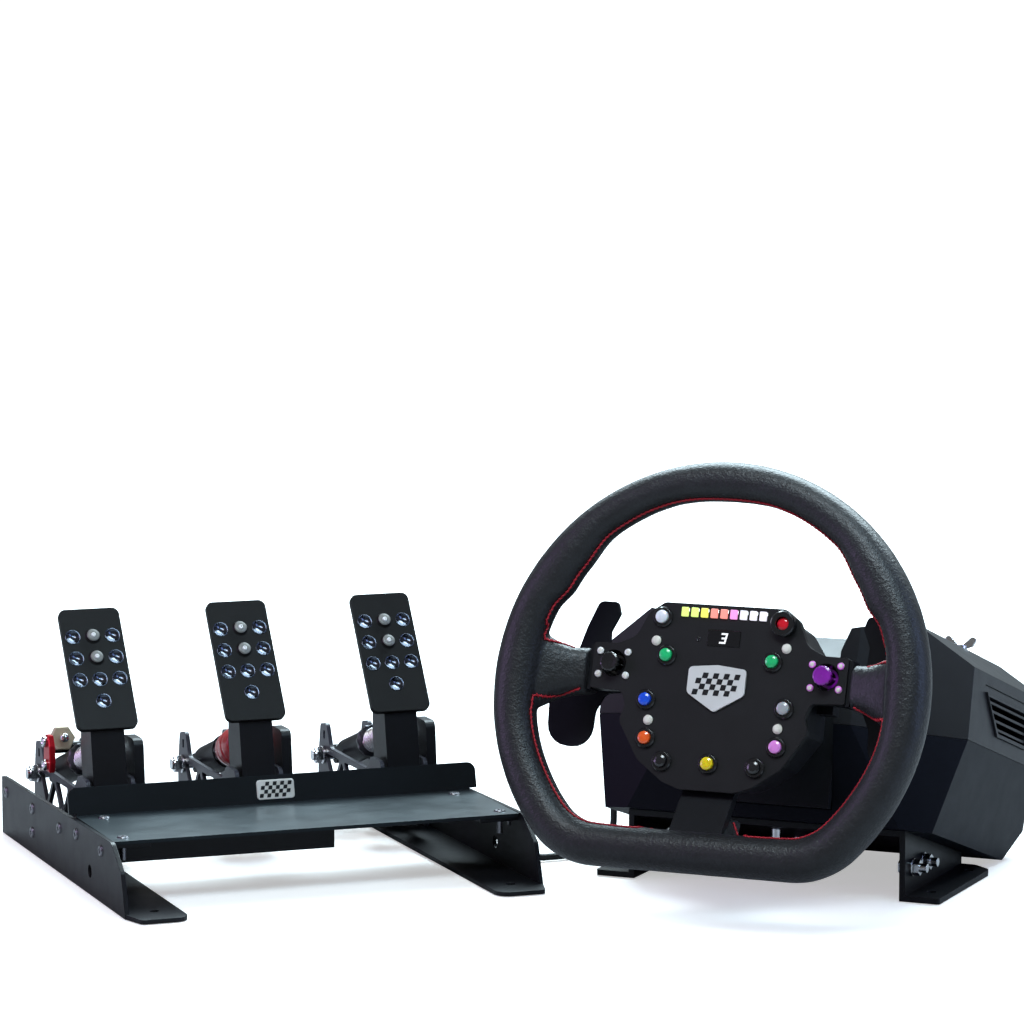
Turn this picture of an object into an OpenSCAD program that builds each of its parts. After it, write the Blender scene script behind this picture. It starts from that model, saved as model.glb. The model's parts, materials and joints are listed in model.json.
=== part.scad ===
/* [Rim] */
// Outer radius of the round part of the rim
rim_r = 150; // [147:0.5:152]
// Radius of the grip's round section
grip_r = 16; // [15:0.25:16.5]
// Radius of the metal tube inside the grip
core_r = 7; // [5:0.5:9]
// Distance from the wheel's axis to the centre-line of the flat bottom
flat_drop = 103; // [102:0.5:104]
// Centre-line radius of the two bottom corners
corner_r = 40; // [38:1:42]
// Angle by which wheel and base lean back
tilt = 16.75; // [16:0.25:17.5]
// Height of the wheel's centre above the floor
wheel_h = 151.5; // [151:0.5:156]
// Position of the wheel's centre, in front of the bracket's centre
wheel_y = -165; // [-166:0.5:-164]

/* [Front panel] */
// Depth of the panel's face behind the rim's mid-plane
panel_d = 12.6; // [12:0.2:13]
// Thickness of the front panel
panel_t = 5; // [4:0.5:6]
// Radius of a push-button cap
cap_r = 4.3; // [3.8:0.1:4.4]
// Number of lamps in the shift-light bar
led_n = 9; // [5:2:9]
// Pitch of the shift lamps
led_pitch = 6.8; // [6:0.1:7]

/* [Base] */
// Half-width of the base at its widest crease
base_w = 132.5; // [131:0.5:134]
// Depth of the base's front face behind the rim
base_front = 104; // [103.5:0.5:105]
// Depth of the base's rear face behind the rim
base_rear = 325; // [320:1:330]
// Wall thickness of the base's shells
shell_t = 3; // [2.5:0.5:3.5]
// Radius of the steering shaft
shaft_r = 12.5; // [11:0.5:13]

/* [Bracket] */
// Thickness of the bent sheet
sheet = 4; // [3:0.5:5]
// Outer half-width of the upright webs
web_x = 99; // [97:0.5:101]
// Half-width over the feet
foot_x = 123; // [121:1:126]
// Length of the feet
foot_l = 120; // [112:2:124]
// Distance between the bolt holes of one foot
foot_pitch = 80; // [70:2:84]
// Radius of the foot bolt holes
foot_hole_r = 3.3; // [2.7:0.1:3.5]

/* [Pedal frame] */
// Half-width over the side plates
plate_x = 146; // [145:0.5:148]
// Thickness of the side plates
plate_t = 3; // [2.5:0.5:3.5]
// Height of the foot deck's top
deck_z = 44.5; // [44:0.5:45]
// Turn of the pedal unit towards the driver
pedal_yaw = 44.4; // [43:0.2:46]
// Radius of the four fixing holes in the plate flanges
pedal_hole_r = 3.3; // [2.7:0.1:3.5]

/* [Pedals] */
// Distance between neighbouring pedals
pedal_pitch = 107; // [105:0.5:108]
// Width of a pedal face
face_w = 43.5; // [42:0.5:46]
// Length of a pedal face
face_l = 91.8; // [88:0.2:96]
// Lean of a pedal face from the upright
face_lean = 33.4; // [32:0.2:35]
// Radius of the holes in a pedal face
face_hole_r = 4.8; // [4:0.1:5]

/* [Hidden] */
$fn = 48;

// Clearance between parts that are fixed together
fit = 0.1;
// Clearance between parts that move against each other
run = 0.3;

// Rim path: a round arc, two corner arcs and a flat bottom
path_r = rim_r - grip_r;
corner_v = -(flat_drop - corner_r);
corner_u = sqrt(pow(path_r - corner_r, 2) - pow(corner_v, 2));
join_a = asin(-corner_v / (path_r - corner_r));
collar_grow = 0.05;

// Spokes: a flat hub plate with three arms that rise to the rim tube
plate_front = 28;
plate_back = 34;
arm_w = 20;
arm_v = 10;
bottom_arm_w = 36;
arm_play = 1;

// Back of the front panel, and the box behind it
panel_back = panel_d + panel_t;
box_back = 56;
box_wall = 3;
hub_bore_r = 36;

// Button places [u, v] in the wheel's plane
white_at = [-42.4, 47.4];
red_at = [42.4, 47.4];
left_green_at = [-36.9, 22.5];
right_green_at = [36.9, 22.5];
blue_at = [-48.1, -7.5];
grey_at = [48.1, -7.5];
orange_at = [-45.5, -32.8];
pink_at = [45.5, -32.8];
left_black_at = [-32.4, -47.2];
right_black_at = [32.4, -47.2];
yellow_at = [0, -46.8];
small_buttons = [white_at, left_green_at, right_green_at, blue_at, grey_at, orange_at, pink_at,
    left_black_at, right_black_at, yellow_at];
bezel_r = 6.8;
barrel_r = 5.6;
barrel_back = 26.5;
red_bezel_r = 8.4;
cap_front = 8.4;
screw_r = 1.5;
red_bezel_h = 6;
cap_back = 18;

// Thumb sticks, one on each side spoke
stick_at = [74, 15];
stick_pivot_d = 21;
stick_cap_r = 6.5;
stem_r = 2.6;
stick_hole_r = 8.8;
pod_u = 88.6;
pod_v = -2;
pod_h = 30.5;
pod = [[57, pod_v], [88, pod_v], [88, pod_v + pod_h], [57, pod_v + pod_h]];
strip_w = 2.6;
pod_back = 27;

// Window and emblem
window_at = [1.3, 35.8];
window_size = [22.7, 10.5];
led_v = 51.8;
led_size = [5, 6.2];

// Paddles hinge on pins beside the wheel box
paddle_pin_u = 67;
paddle_d = 45;
paddle_t = 3;
paddle_pin_r = 2;

// Base section: crease, side top edge, roof and floor heights
crease_v = -4.3;
floor_v = -69;
floor_w = 117;
side_v = 44.6;
roof_v = 68.5;
roof_w = 95;
// Hoods either side of the recess in the front and the roof
hood_u = 55.7;
hood_v = 60.5;
recess_u = 50;
recess_v = 44.6;
recess_low = -60;
recess_l = 34;
valley_v = 57.5;
cowl_set = 8;
cowl_t = 5;
nose_w = 62;
chin_d = 18;
rear_cut = 33;
side_cut = 14;
roof_cut = 14;
side_d = 140;

seam = 0.3;
// Vents in the base's sides
vent_d0 = 167.5;
vent_d1 = 266;
vent_rake = 31;
vent_top = 32;
vent_low = 5.5;
slat_n = 4;
slat_pitch = 5.3;
slat_t = 1.7;
vent_rim = 2.5;
// Rear sockets and wing screw [across, depth]
port_v = 20;
port_w = 84;
port_h = 20;
wing_at = [86, 246];
wing_r = 3;
wing_v = 68;

// Bracket fixings
hole_x = 111;
web_bolt_ys = [-58 + 12, -58 + 34];
web_bolt_z = 21;

// Link cable radius and the height of its floor stretch
cable_r = 2.4;
cable_z = cable_r + 0.2;

// Motor and bearings
motor_r = 42;
fin_h = 4;
bearing_r = 21;
bearing_l = 12;
motor_front = 150;
motor_back = 262;
cradle_w = 48;

// Pedal unit
pedal_at = [-269.2, -189.6];
clutch_x = -105;
brake_x = clutch_x + pedal_pitch;
throttle_x = brake_x + pedal_pitch;
pedal_xs = [clutch_x, brake_x, throttle_x];
face_y = 144.6;
face_z = 94.7;
face_t = 4;
pivot_y = 150;
pivot_z = 24;
arm_half = 12;
arm_t = 3;
bracket_gap = 14.5;
bracket_t = 3;
case_t = 7;
lug_y = 166;
lug_z = 76;
barrel_end_y = 268;
barrel_end_z = 44;
damper_a = atan2(lug_z - barrel_end_z, barrel_end_y - lug_y);
damper_l = norm([barrel_end_y - lug_y, lug_z - barrel_end_z]);
damper_barrel_l = 58;
deck_depth = 95;
deck_t = 2.5;
plate_end_y = 283;
flange_x = 107;
rail_y0 = 182;
rail_y1 = 255;
rail_z0 = 18;
rail_z1 = 12;
rail_t = 4;
rail_l = 26;
pin_r = 4;
lug_r = 3;
lug_play = 0.8;
damper_rod_r = 3.5;
rod_l = 56;
spring_start = 10;
spring_l = damper_l - damper_barrel_l - 6 - spring_start - 0.4;
buffer_r = 13.5;
pedal_hole_x = 124.6;
pedal_hole_y = -31.2;
deck_screws = [[126, 84], [133, 12]];
deck_screw_l = 15;
side_screws = [[271, 31], [198, 32], [199, 15], [126, 31], [82, 35], [20, 35]];
face_rows = [70.5, 54, 37.5];
face_col = 14.2;
face_low_hole = 21;

// Control box under the deck: left end, height, size, and the places of its posts
box_x = -139;
box_z = 26;
box_size = [156, 58, 12.5];
box_posts = [-106, -60, 4];

// Cable lay: out of a hole in the right plate, down to the floor, beside the base, up and into its side
cable_hole = [48, 16];
stub_l = 6;
drop_r = 15;
drop_a = 40;
turn_r = 40;
plug_size = [8, 6, 12];
plug_y = 55;
plug_z = 59;
plug_x = -128.9;
rise_x = plug_x - plug_size[2] - 1.7 - drop_r;
drop_l = (cable_hole[1] - cable_z - 2 * drop_r * (1 - cos(drop_a))) / sin(drop_a);
out_x = pedal_at[0] + (plate_x + 0.2) * cos(pedal_yaw) - cable_hole[0] * sin(pedal_yaw);
out_y = pedal_at[1] + (plate_x + 0.2) * sin(pedal_yaw) + cable_hole[0] * cos(pedal_yaw);
turn_a = 90 - pedal_yaw;
along = (rise_x - out_x + turn_r * (1 - cos(turn_a)) * sin(pedal_yaw)) / cos(pedal_yaw);
floor_l = along - turn_r * sin(turn_a) - stub_l - 2 * drop_r * sin(drop_a) - drop_l * cos(drop_a);
run_l = plug_y - drop_r - out_y - along * sin(pedal_yaw) - turn_r * (1 - cos(turn_a)) * cos(pedal_yaw);
rise_l = plug_z - cable_z - 2 * drop_r;

// ---- helpers ----

function unit(v) = v / norm(v);
function turn(a) = a > 180 ? a - 360 : a < -180 ? a + 360 : a;
// Points that replace a corner q, between p and s, by an arc of radius r
function corner(p, q, s, r, n) = r == 0 ? [q] :
    let (
        a = unit(p - q),
        b = unit(s - q),
        half = acos(a * b) / 2,
        c = q + unit(a + b) * r / sin(half),
        start = q + a * r / tan(half) - c,
        end = q + b * r / tan(half) - c,
        a0 = atan2(start[1], start[0]),
        sweep = turn(atan2(end[1], end[0]) - a0)
    )
    [for (i = [0:n]) c + r * [cos(a0 + sweep * i / n), sin(a0 + sweep * i / n)]];
// Outline with rounded corners from points [x, y, radius]
function rounded(pts, n = 5) = [
    for (i = [0:len(pts) - 1])
        let (
            p = pts[(i + len(pts) - 1) % len(pts)],
            q = pts[i],
            s = pts[(i + 1) % len(pts)]
        )
        each corner([p[0], p[1]], [q[0], q[1]], [s[0], s[1]], q[2], n)
];
// Both halves of a symmetric outline, from its right half listed top to bottom
function mirrored(pts) = concat(pts, [for (i = [len(pts) - 1:-1:0]) [-pts[i][0], pts[i][1], pts[i][2]]]);

// Wheel frame: x across, y up the wheel's face, z towards the driver
module wheel_place() {
    translate([0, wheel_y, wheel_h]) rotate([90 - tilt, 0, 0]) children();
}
// Extrudes a flat shape between two depths behind the rim's mid-plane
module slab(d0, d1) {
    translate([0, 0, -d1]) linear_extrude(d1 - d0) children();
}
module rod(r, d0, d1, at = [0, 0]) {
    translate([at[0], at[1], -d1]) cylinder(r = r, h = d1 - d0);
}
// Turned shape about the wheel's axis from points [radius, depth]
module turned(pts, at = [0, 0]) {
    translate([at[0], at[1], 0]) rotate_extrude() polygon([for (p = pts) [p[0], -p[1]]]);
}
// Extrudes a [radial distance, depth] outline across a spoke
module spoke_profile(pts, w) {
    rotate([90, 0, 0]) linear_extrude(w, center = true) polygon([for (p = pts) [p[0], -p[1]]]);
}
module both_sides() {
    children();
    mirror([1, 0, 0]) children();
}

// Pedal frame: x to the right, y away from the driver, z up
module pedal_place() {
    translate([pedal_at[0], pedal_at[1], 0]) rotate([0, 0, pedal_yaw]) children();
}
// Extrudes a [y, z] outline between two x positions
module wall(x0, x1) {
    translate([x0, 0, 0]) rotate([90, 0, 90]) linear_extrude(x1 - x0) children();
}
module pin_x(r, x0, x1, y, z) {
    translate([x0, y, z]) rotate([0, 90, 0]) cylinder(r = r, h = x1 - x0);
}

// ---- wheel ----

// Arc of tube about a centre, a hair short at both ends, where collars join it to its neighbours
module tube_arc(r, bend, start, sweep) {
    rotate([0, 0, start + 0.1]) rotate_extrude(angle = sweep - 0.2) translate([bend, 0]) circle(r = r);
}
module collar(r) {
    cylinder(r = r + collar_grow, h = 0.8, center = true);
}
module rim_tube(r) {
    tube_arc(r, path_r, -join_a, 180 + 2 * join_a);
    both_sides() {
        translate([corner_u, corner_v, 0]) tube_arc(r, corner_r, -90, 90 - join_a);
        rotate([0, 0, -join_a]) translate([path_r, 0, 0]) rotate([90, 0, 0]) collar(r);
        translate([corner_u, -flat_drop, 0]) rotate([0, 90, 0]) collar(r);
    }
    translate([-corner_u + 0.1, -flat_drop, 0]) rotate([0, 90, 0]) cylinder(r = r, h = 2 * corner_u - 0.2);
}

// One spoke arm from the hub plate to a rim tube whose centre-line is at reach
module spoke_arm(reach, w, bend, grow = 0) {
    spoke_profile([
        [28, plate_front - grow], [bend, plate_front - grow], [reach - 1, -4 - grow],
        [reach + 3, 3], [bend + 2, plate_back + grow], [28, plate_back + grow]
    ], w + 2 * grow);
}
module spoke_arms(grow = 0) {
    both_sides() translate([0, arm_v, 0]) spoke_arm(path_r, arm_w, 92, grow);
    // The bottom spoke comes forward right below the wheel box
    rotate([0, 0, -90]) spoke_profile([
        [28, plate_front - grow], [54, plate_front - grow], [65, 19 - grow], [flat_drop - 1, -4 - grow],
        [flat_drop + 3, 3], [63, 27 + grow], [53, plate_back + grow], [28, plate_back + grow]
    ], bottom_arm_w + 2 * grow);
}

module rim_frame() {
    color("#9a9da1") wheel_place() {
        rim_tube(core_r);
        spoke_arms();
        slab(plate_front, plate_back) circle(r = 34);
    }
}

// Leather sleeve round a side spoke's outer end
module side_sleeve() {
    intersection() {
        slab(-8, 40) polygon(rounded([
            [91.5, -5, 3], [104, -7, 8], [119, -19, 0], [134, -19, 0], [134, 30, 0],
            [117, 30, 0], [106, 22, 8], [91.5, 26, 3]
        ]));
        translate([0, arm_v, 0]) spoke_profile(
            [[88, 8], [100, 6], [122, -8], [140, -8], [140, 8], [126, 16], [104, 38], [88, 40]], 60);
    }
}
module bottom_sleeve() {
    intersection() {
        slab(-8, 40) polygon(rounded([
            [-20.5, -80, 2], [20.5, -80, 2], [22, -90, 4], [34, -96, 0], [34, -103, 0], [-34, -103, 0],
            [-34, -96, 0], [-22, -90, 4]
        ]));
        rotate([0, 0, -90]) spoke_profile(
            [[70, 20], [92, -8], [110, -8], [110, 6], [96, 16], [78, 38], [70, 40]], 70);
    }
}
module rim_grip() {
    color("#1b1b1d") wheel_place() difference() {
        union() {
            rim_tube(grip_r);
            both_sides() side_sleeve();
            bottom_sleeve();
        }
        rim_tube(core_r + fit);
        spoke_arms(fit);
    }
}

panel_half = [
    [42, 57.5, 5], [52.5, 50, 7], [59.5, 34, 12], [72, 28.6, 8], [88.6, 28.2, 1.5], [88.6, -2, 1.5],
    [66, -3, 5], [62.5, -12, 6], [66, -22, 8], [50, -47, 14], [31, -60.5, 12], [19, -64.5, 6]
];
box_half = [
    [38, 53, 5], [48, 47, 5], [60, 30, 5], [61.5, -22, 8], [46, -44, 6], [30, -55, 5], [18, -60, 3]
];
module front_panel() {
    color("#2c2c2f") wheel_place() difference() {
        slab(panel_d, panel_back) polygon(rounded(mirrored(panel_half), 6));
        for (at = small_buttons) rod(barrel_r + fit, 0, 30, at);
        rod(barrel_r + fit, 0, 30, red_at);
        both_sides() rod(stick_hole_r, 0, 30, stick_at);
        translate([window_at[0], window_at[1], 0]) slab(0, panel_d + 2)
            square([window_size[0] + 2 * fit, window_size[1] + 2 * fit], center = true);
        for (i = [0:led_n - 1]) translate([(i - (led_n - 1) / 2) * led_pitch, led_v, 0])
            slab(0, 30) square([led_size[0] + 2 * fit, led_size[1] + 2 * fit], center = true);
        for (at = screw_places()) rod(screw_r + 0.05, 0, 30, at);
    }
}

function screw_places() = [
    for (s = [-1, 1]) each [
        [s * 45.4, 31.7], [s * 45.1, -20.8],
        [s * 64.2, 22.8], [s * 83.8, 22.8], [s * 64.2, 7.2], [s * 83.8, 7.2]
    ]
];
// Domed panel screws and stick bolts
module panel_screws() {
    color("#e8e4da") wheel_place() for (at = screw_places()) {
        dome_r = abs(at[0]) > 60 ? 2.3 : 3.3;
        turned([
            [0, panel_d - 1.8], [dome_r * 0.6, panel_d - 1.5], [dome_r, panel_d - 0.4], [dome_r, panel_d],
            [screw_r, panel_d], [screw_r, panel_back + 5], [0, panel_back + 5]
        ], at);
    }
}

module box_outline(inset) {
    polygon(rounded(mirrored([for (p = box_half) [p[0] - inset, p[1] - inset * sign(p[1]), p[2]]]), 4));
}
module wheel_box() {
    color("#232326") wheel_place() difference() {
        union() {
            slab(panel_back, box_back) box_outline(0);
            both_sides() slab(panel_back, pod_back) polygon(rounded([for (p = pod) [p[0], p[1], 2]]));
            // End strip between the panel and the sleeve, and the web that carries it
            both_sides() slab(panel_d + 1.5, pod_back)
                translate([pod_u + fit, pod_v - 1]) square([strip_w, pod_h - 0.5]);
            both_sides() slab(panel_back + 2, pod_back)
                translate([pod_u - 2, pod_v]) square([3, pod_h - 2.5]);
            // Paddle lugs
            both_sides() for (v = [-6, 22]) translate([0, v, 0])
                slab(39, 51) translate([54, 0]) square([paddle_pin_u - 54 + 5, 6]);
        }
        slab(panel_back - 1, box_back - box_wall) box_outline(box_wall);
        for (at = small_buttons) rod(barrel_r + run, panel_back - 1, barrel_back + 2, at);
        rod(barrel_r + run, panel_back - 1, barrel_back + 2, red_at);
        rod(hub_bore_r, 30, 60);
        // Slots for the spoke arms
        both_sides() translate([50, arm_v - arm_w / 2 - arm_play, 0])
            slab(plate_front - 0.5, plate_back + 0.5) square([45, arm_w + 2 * arm_play]);
        translate([-bottom_arm_w / 2 - arm_play, -70, 0])
            slab(panel_back + 1, plate_back + 1.5) square([bottom_arm_w + 2 * arm_play, 24]);
        // Wire slots between the box and the stick pods
        both_sides() translate([50, pod_v + 4, 0])
            slab(panel_back + 2, panel_back + 6) square([18, pod_h - 6.5]);
        // Stick wells
        both_sides() rod(stick_hole_r + 0.4, 10, 25.5, stick_at);
        for (at = screw_places()) rod(screw_r + 0.05, 10, panel_back + 5.5, at);
        both_sides() translate([paddle_pin_u, -10, -paddle_d]) rotate([-90, 0, 0])
            cylinder(r = paddle_pin_r + 0.05, h = 50);
    }
}

// One push-button body: flange, barrel and closed end
module button_body(at, flange_r, flange_h) {
    turned([
        [cap_r + 0.2, panel_d - flange_h], [flange_r - 0.8, panel_d - flange_h],
        [flange_r, panel_d - flange_h + 0.8], [flange_r, panel_d],
        [barrel_r, panel_d], [barrel_r, barrel_back], [0, barrel_back], [0, barrel_back - 1.5],
        [cap_r + 0.2, barrel_back - 1.5]
    ], at);
}
module button_housings() {
    color("#151517") wheel_place() {
        for (at = small_buttons) button_body(at, bezel_r, 2);
        button_body(red_at, red_bezel_r, red_bezel_h);
    }
}
module button_cap(shade, at, front) {
    color(shade) wheel_place() turned([
        [0, front - 0.5], [cap_r * 0.6, front - 0.3], [cap_r - 0.3, front + 0.3], [cap_r, front + 1],
        [cap_r, cap_back], [0, cap_back]
    ], at);
}
module white_button() { button_cap("white", white_at, cap_front); }
module red_button() { button_cap("red", red_at, panel_d - red_bezel_h + 1.8); }
module left_green_button() { button_cap("green", left_green_at, cap_front); }
module right_green_button() { button_cap("green", right_green_at, cap_front); }
module blue_button() { button_cap("blue", blue_at, cap_front); }
module grey_button() { button_cap("grey", grey_at, cap_front); }
module orange_button() { button_cap("orangered", orange_at, cap_front); }
module pink_button() { button_cap("deeppink", pink_at, cap_front); }
module left_black_button() { button_cap("#101010", left_black_at, cap_front); }
module right_black_button() { button_cap("#101010", right_black_at, cap_front); }
module yellow_button() { button_cap("gold", yellow_at, cap_front); }

module display_window() {
    color("#0a0a0c") wheel_place() translate([window_at[0], window_at[1], 0])
        slab(panel_d - 0.4, panel_d + 2) square(window_size, center = true);
}
module shift_leds() {
    color("#e9e6c0") wheel_place() for (i = [0:led_n - 1])
        translate([(i - (led_n - 1) / 2) * led_pitch, led_v, 0])
            slab(panel_d - 1.4, panel_back) square(led_size, center = true);
}
// Plain shield badge on the panel's centre
module emblem_badge() {
    color("#b9bcc2") wheel_place() slab(panel_d - 1.6, panel_d) polygon(rounded([
        [-20, 16, 3], [0, 18, 0], [20, 16, 3], [20, -1, 4], [0, -13, 3], [-20, -1, 4]
    ]));
}

// Stick gimbal: a ring that rocks about the vertical axis, carried on two stub pins
module stick_gimbal(side) {
    color("#3a3a3e") wheel_place() translate([side * stick_at[0], stick_at[1], 0]) difference() {
        union() {
            rod(6.4, stick_pivot_d - 1.6, stick_pivot_d + 1.6);
            translate([0, -8.8, -stick_pivot_d]) rotate([-90, 0, 0]) cylinder(r = 1, h = 17.6);
        }
        rod(4.6, stick_pivot_d - 3, stick_pivot_d + 3);
        translate([-8, 0, -stick_pivot_d]) rotate([0, 90, 0]) cylinder(r = 0.85, h = 16);
    }
}
// Stick with its cross pin and its knurled cap
module thumb_stick(side, shade) {
    color(shade) wheel_place() translate([side * stick_at[0], stick_at[1], 0]) {
        difference() {
            turned([
                [0, 4.6], [3, 4.4], [stick_cap_r - 1.2, 4.1], [stick_cap_r - 0.3, 4.5], [stick_cap_r, 5.2],
                [stick_cap_r, 7.4], [stick_cap_r - 0.8, 8.2], [stem_r, 8.8], [stem_r, stick_pivot_d + 2],
                [0, stick_pivot_d + 2]
            ]);
            for (i = [0:11]) rotate([0, 0, i * 30]) rod(0.7, 1, 9, [stick_cap_r + 0.2, 0]);
        }
        translate([-6, 0, -stick_pivot_d]) rotate([0, 90, 0]) cylinder(r = 0.75, h = 12);
    }
}
module left_stick_gimbal() { stick_gimbal(-1); }
module left_stick() { thumb_stick(-1, "#141416"); }
module right_stick_gimbal() { stick_gimbal(1); }
module right_stick() { thumb_stick(1, "#3a1030"); }

// Shift paddle: a hinge eye, an arm and a tall blade
module shift_paddle() {
    color("#1d1d20") wheel_place() difference() {
        union() {
            slab(paddle_d - paddle_t / 2, paddle_d + paddle_t / 2) polygon(rounded([
                [paddle_pin_u, 1, 0], [90, -2, 6], [96, -14, 8], [97, -39, 14], [128, -38, 15],
                [130, 0, 10], [116, 14, 12], [108, 42, 8], [101, 60, 5], [88, 60, 3], [85.5, 52, 2], [91, 40, 4],
                [90, 24, 6], [paddle_pin_u, 21, 0]
            ]));
            translate([paddle_pin_u, 0.6, -paddle_d]) rotate([-90, 0, 0]) cylinder(r = 4.5, h = 20.8);
        }
        translate([paddle_pin_u, -1, -paddle_d]) rotate([-90, 0, 0]) cylinder(r = paddle_pin_r + 0.1, h = 24);
    }
}
module right_paddle() { shift_paddle(); }
module left_paddle() { mirror([1, 0, 0]) shift_paddle(); }
module paddle_pins() {
    color("silver") wheel_place() both_sides() translate([paddle_pin_u, -6, -paddle_d]) rotate([-90, 0, 0])
        cylinder(r = paddle_pin_r, h = 34);
}

// Turned hub and shaft in one piece, bolted behind the hub plate
module steering_shaft() {
    color("#b4b7bb") wheel_place() turned([
        [0, plate_back], [34, plate_back], [34, 40], [24, 42], [24, 74], [30, 76], [30, 84], [24, 86],
        [shaft_r, 90], [shaft_r, 282], [0, 282]
    ]);
}

// ---- base ----

// Faceted body: three outlines cut into each other, every face moved in by t
module base_block(t) {
    intersection() {
        slab(base_front + t, base_rear - t) polygon([
            [-floor_w + t, floor_v + t], [floor_w - t, floor_v + t], [base_w - t, crease_v],
            [base_w - 0.5 - t, side_v], [roof_w - t, roof_v - t], [hood_u, hood_v - t], [recess_u, valley_v - t],
            [-recess_u, valley_v - t], [-hood_u, hood_v - t], [-roof_w + t, roof_v - t],
            [-base_w + 0.5 + t, side_v], [-base_w + t, crease_v]
        ]);
        rotate([90, 0, 0]) linear_extrude(300, center = true) polygon([
            [-nose_w, -base_front - t], [nose_w, -base_front - t], [base_w - t, -side_d - t],
            [base_w - t, -base_rear + rear_cut + t], [base_w - side_cut - t, -base_rear + t],
            [-base_w + side_cut + t, -base_rear + t], [-base_w + t, -base_rear + rear_cut + t],
            [-base_w + t, -side_d - t]
        ]);
        rotate([0, 90, 0]) linear_extrude(300, center = true) polygon([
            [base_front + t, roof_v], [base_front + t, crease_v], [base_front + chin_d + t, floor_v],
            [base_rear - rear_cut - t, floor_v], [base_rear - t, floor_v + rear_cut],
            [base_rear - t, roof_v - roof_cut], [base_rear - roof_cut - t, roof_v]
        ]);
    }
}

// Keeps the part of the base above or below the crease line
module base_half(upper) {
    y0 = upper ? crease_v + seam / 2 : floor_v - 10;
    y1 = upper ? roof_v + 10 : crease_v - seam / 2;
    intersection() {
        base_block(0);
        translate([-200, y0, -base_rear - 20]) cube([400, y1 - y0, 300]);
    }
}
module recess_outline(inset) {
    polygon([
        [-hood_u - 3 + inset, roof_v + 2], [hood_u + 3 - inset, roof_v + 2], [hood_u - inset, hood_v],
        [recess_u - inset, recess_v], [recess_u - inset, recess_low + inset], [-recess_u + inset, recess_low + inset],
        [-recess_u + inset, recess_v], [-hood_u + inset, hood_v]
    ]);
}
// Side and bottom walls of the recess
module recess_walls() {
    slab(base_front, base_front + recess_l) difference() {
        recess_outline(-shell_t);
        recess_outline(0);
    }
}
module vent_outline(inset) {
    polygon([
        [vent_d0 + inset * 1.6, vent_top - inset], [vent_d1 - inset, vent_top - inset],
        [vent_d1 - inset, vent_low + inset], [vent_d0 + vent_rake + inset * 0.8, vent_low + inset]
    ]);
}
// Extrudes a [depth, height] outline across the base
module side_cut_out(x0, x1) {
    translate([x0, 0, 0]) rotate([0, 90, 0]) linear_extrude(x1 - x0) children();
}
module upper_shell() {
    color("#3a3b40") wheel_place() difference() {
        union() {
            difference() {
                base_half(true);
                base_block(shell_t);
            }
            intersection() {
                base_half(true);
                recess_walls();
            }
        }
        slab(base_front - 1, base_front + recess_l) recess_outline(0);
        both_sides() side_cut_out(120, 140) vent_outline(0);
        // Groove above each vent
        both_sides() translate([base_w - 1.6, vent_top + 4, -vent_d1]) cube([4, 1, vent_d1 - vent_d0]);
        translate([0, port_v, 0]) slab(base_rear - 10, base_rear + 5)
            square([port_w + 0.4, port_h + 0.4], center = true);
        translate([wing_at[0], roof_v - 10, -wing_at[1]]) rotate([-90, 0, 0]) cylinder(r = wing_r + run, h = 20);
    }
}
module lower_shell() {
    color("#303136") wheel_place() difference() {
        union() {
            difference() {
                base_half(false);
                base_block(shell_t);
            }
            intersection() {
                base_half(false);
                recess_walls();
            }
            // Motor cradle
            translate([-cradle_w / 2, floor_v + 1, -motor_back + 10])
                cube([cradle_w, -motor_r - floor_v - 1.2, motor_back - motor_front - 20]);
        }
        slab(base_front - 1, base_front + recess_l) recess_outline(0);
        rod(motor_r + fin_h + 0.2, motor_front - 5, motor_back + 5);
    }
}
// Front plate with a sloping brow above and a turned nose round the shaft
module shaft_cowl() {
    front = base_front + cowl_set;
    color("#55575d") wheel_place() difference() {
        union() {
            intersection() {
                union() {
                    slab(front, front + cowl_t) translate([-80, recess_low]) square([160, recess_v - recess_low - 5]);
                    side_cut_out(-80, 80) polygon([
                        [front, recess_v - 8], [front + 3, recess_v - 4], [base_front + recess_l, valley_v],
                        [base_front + recess_l, valley_v - 5], [front + cowl_t, recess_v - 10]
                    ]);
                }
                slab(base_front - 1, base_front + recess_l - fit) recess_outline(fit);
            }
            turned([[0, 94], [27, 94], [40, front], [40, front + 1], [0, front + 1]]);
        }
        rod(shaft_r + 2, 90, front + 20);
        rod(32, 86, 98);
    }
}
module vent_grilles() {
    color("#26272b") wheel_place() both_sides() {
        difference() {
            side_cut_out(base_w - 7, base_w + 1.5) vent_outline(0.2);
            side_cut_out(base_w - 8, base_w + 3) vent_outline(vent_rim);
        }
        intersection() {
            side_cut_out(base_w - 6, base_w + 0.5) vent_outline(vent_rim - 0.6);
            for (i = [1:slat_n]) translate([base_w - 8, vent_low + vent_rim / 2 + i * slat_pitch, -vent_d1 - 2])
                rotate([0, 0, -15]) cube([12, slat_t, vent_d1 - vent_d0 + 4]);
        }
    }
}
module drive_motor() {
    color("#1f2023") wheel_place() difference() {
        union() {
            rod(motor_r, motor_front, motor_back);
            rod(30, motor_front - 30, motor_front);
            for (i = [0:11]) rotate([0, 0, i * 30 + 15]) translate([motor_r - 2, -1.5, -motor_back + 6])
                cube([2 + fin_h, 3, motor_back - motor_front - 12]);
        }
        rod(shaft_r + 1, motor_front - 40, motor_back + 10);
        rod(bearing_r + 0.05, motor_front - 31, motor_front - 30 + bearing_l);
        rod(bearing_r + 0.05, motor_back - bearing_l, motor_back + 1);
    }
}
module bearing(d0) {
    difference() {
        rod(bearing_r, d0, d0 + bearing_l);
        rod(shaft_r + 0.05, d0 - 1, d0 + bearing_l + 1);
    }
}
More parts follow.
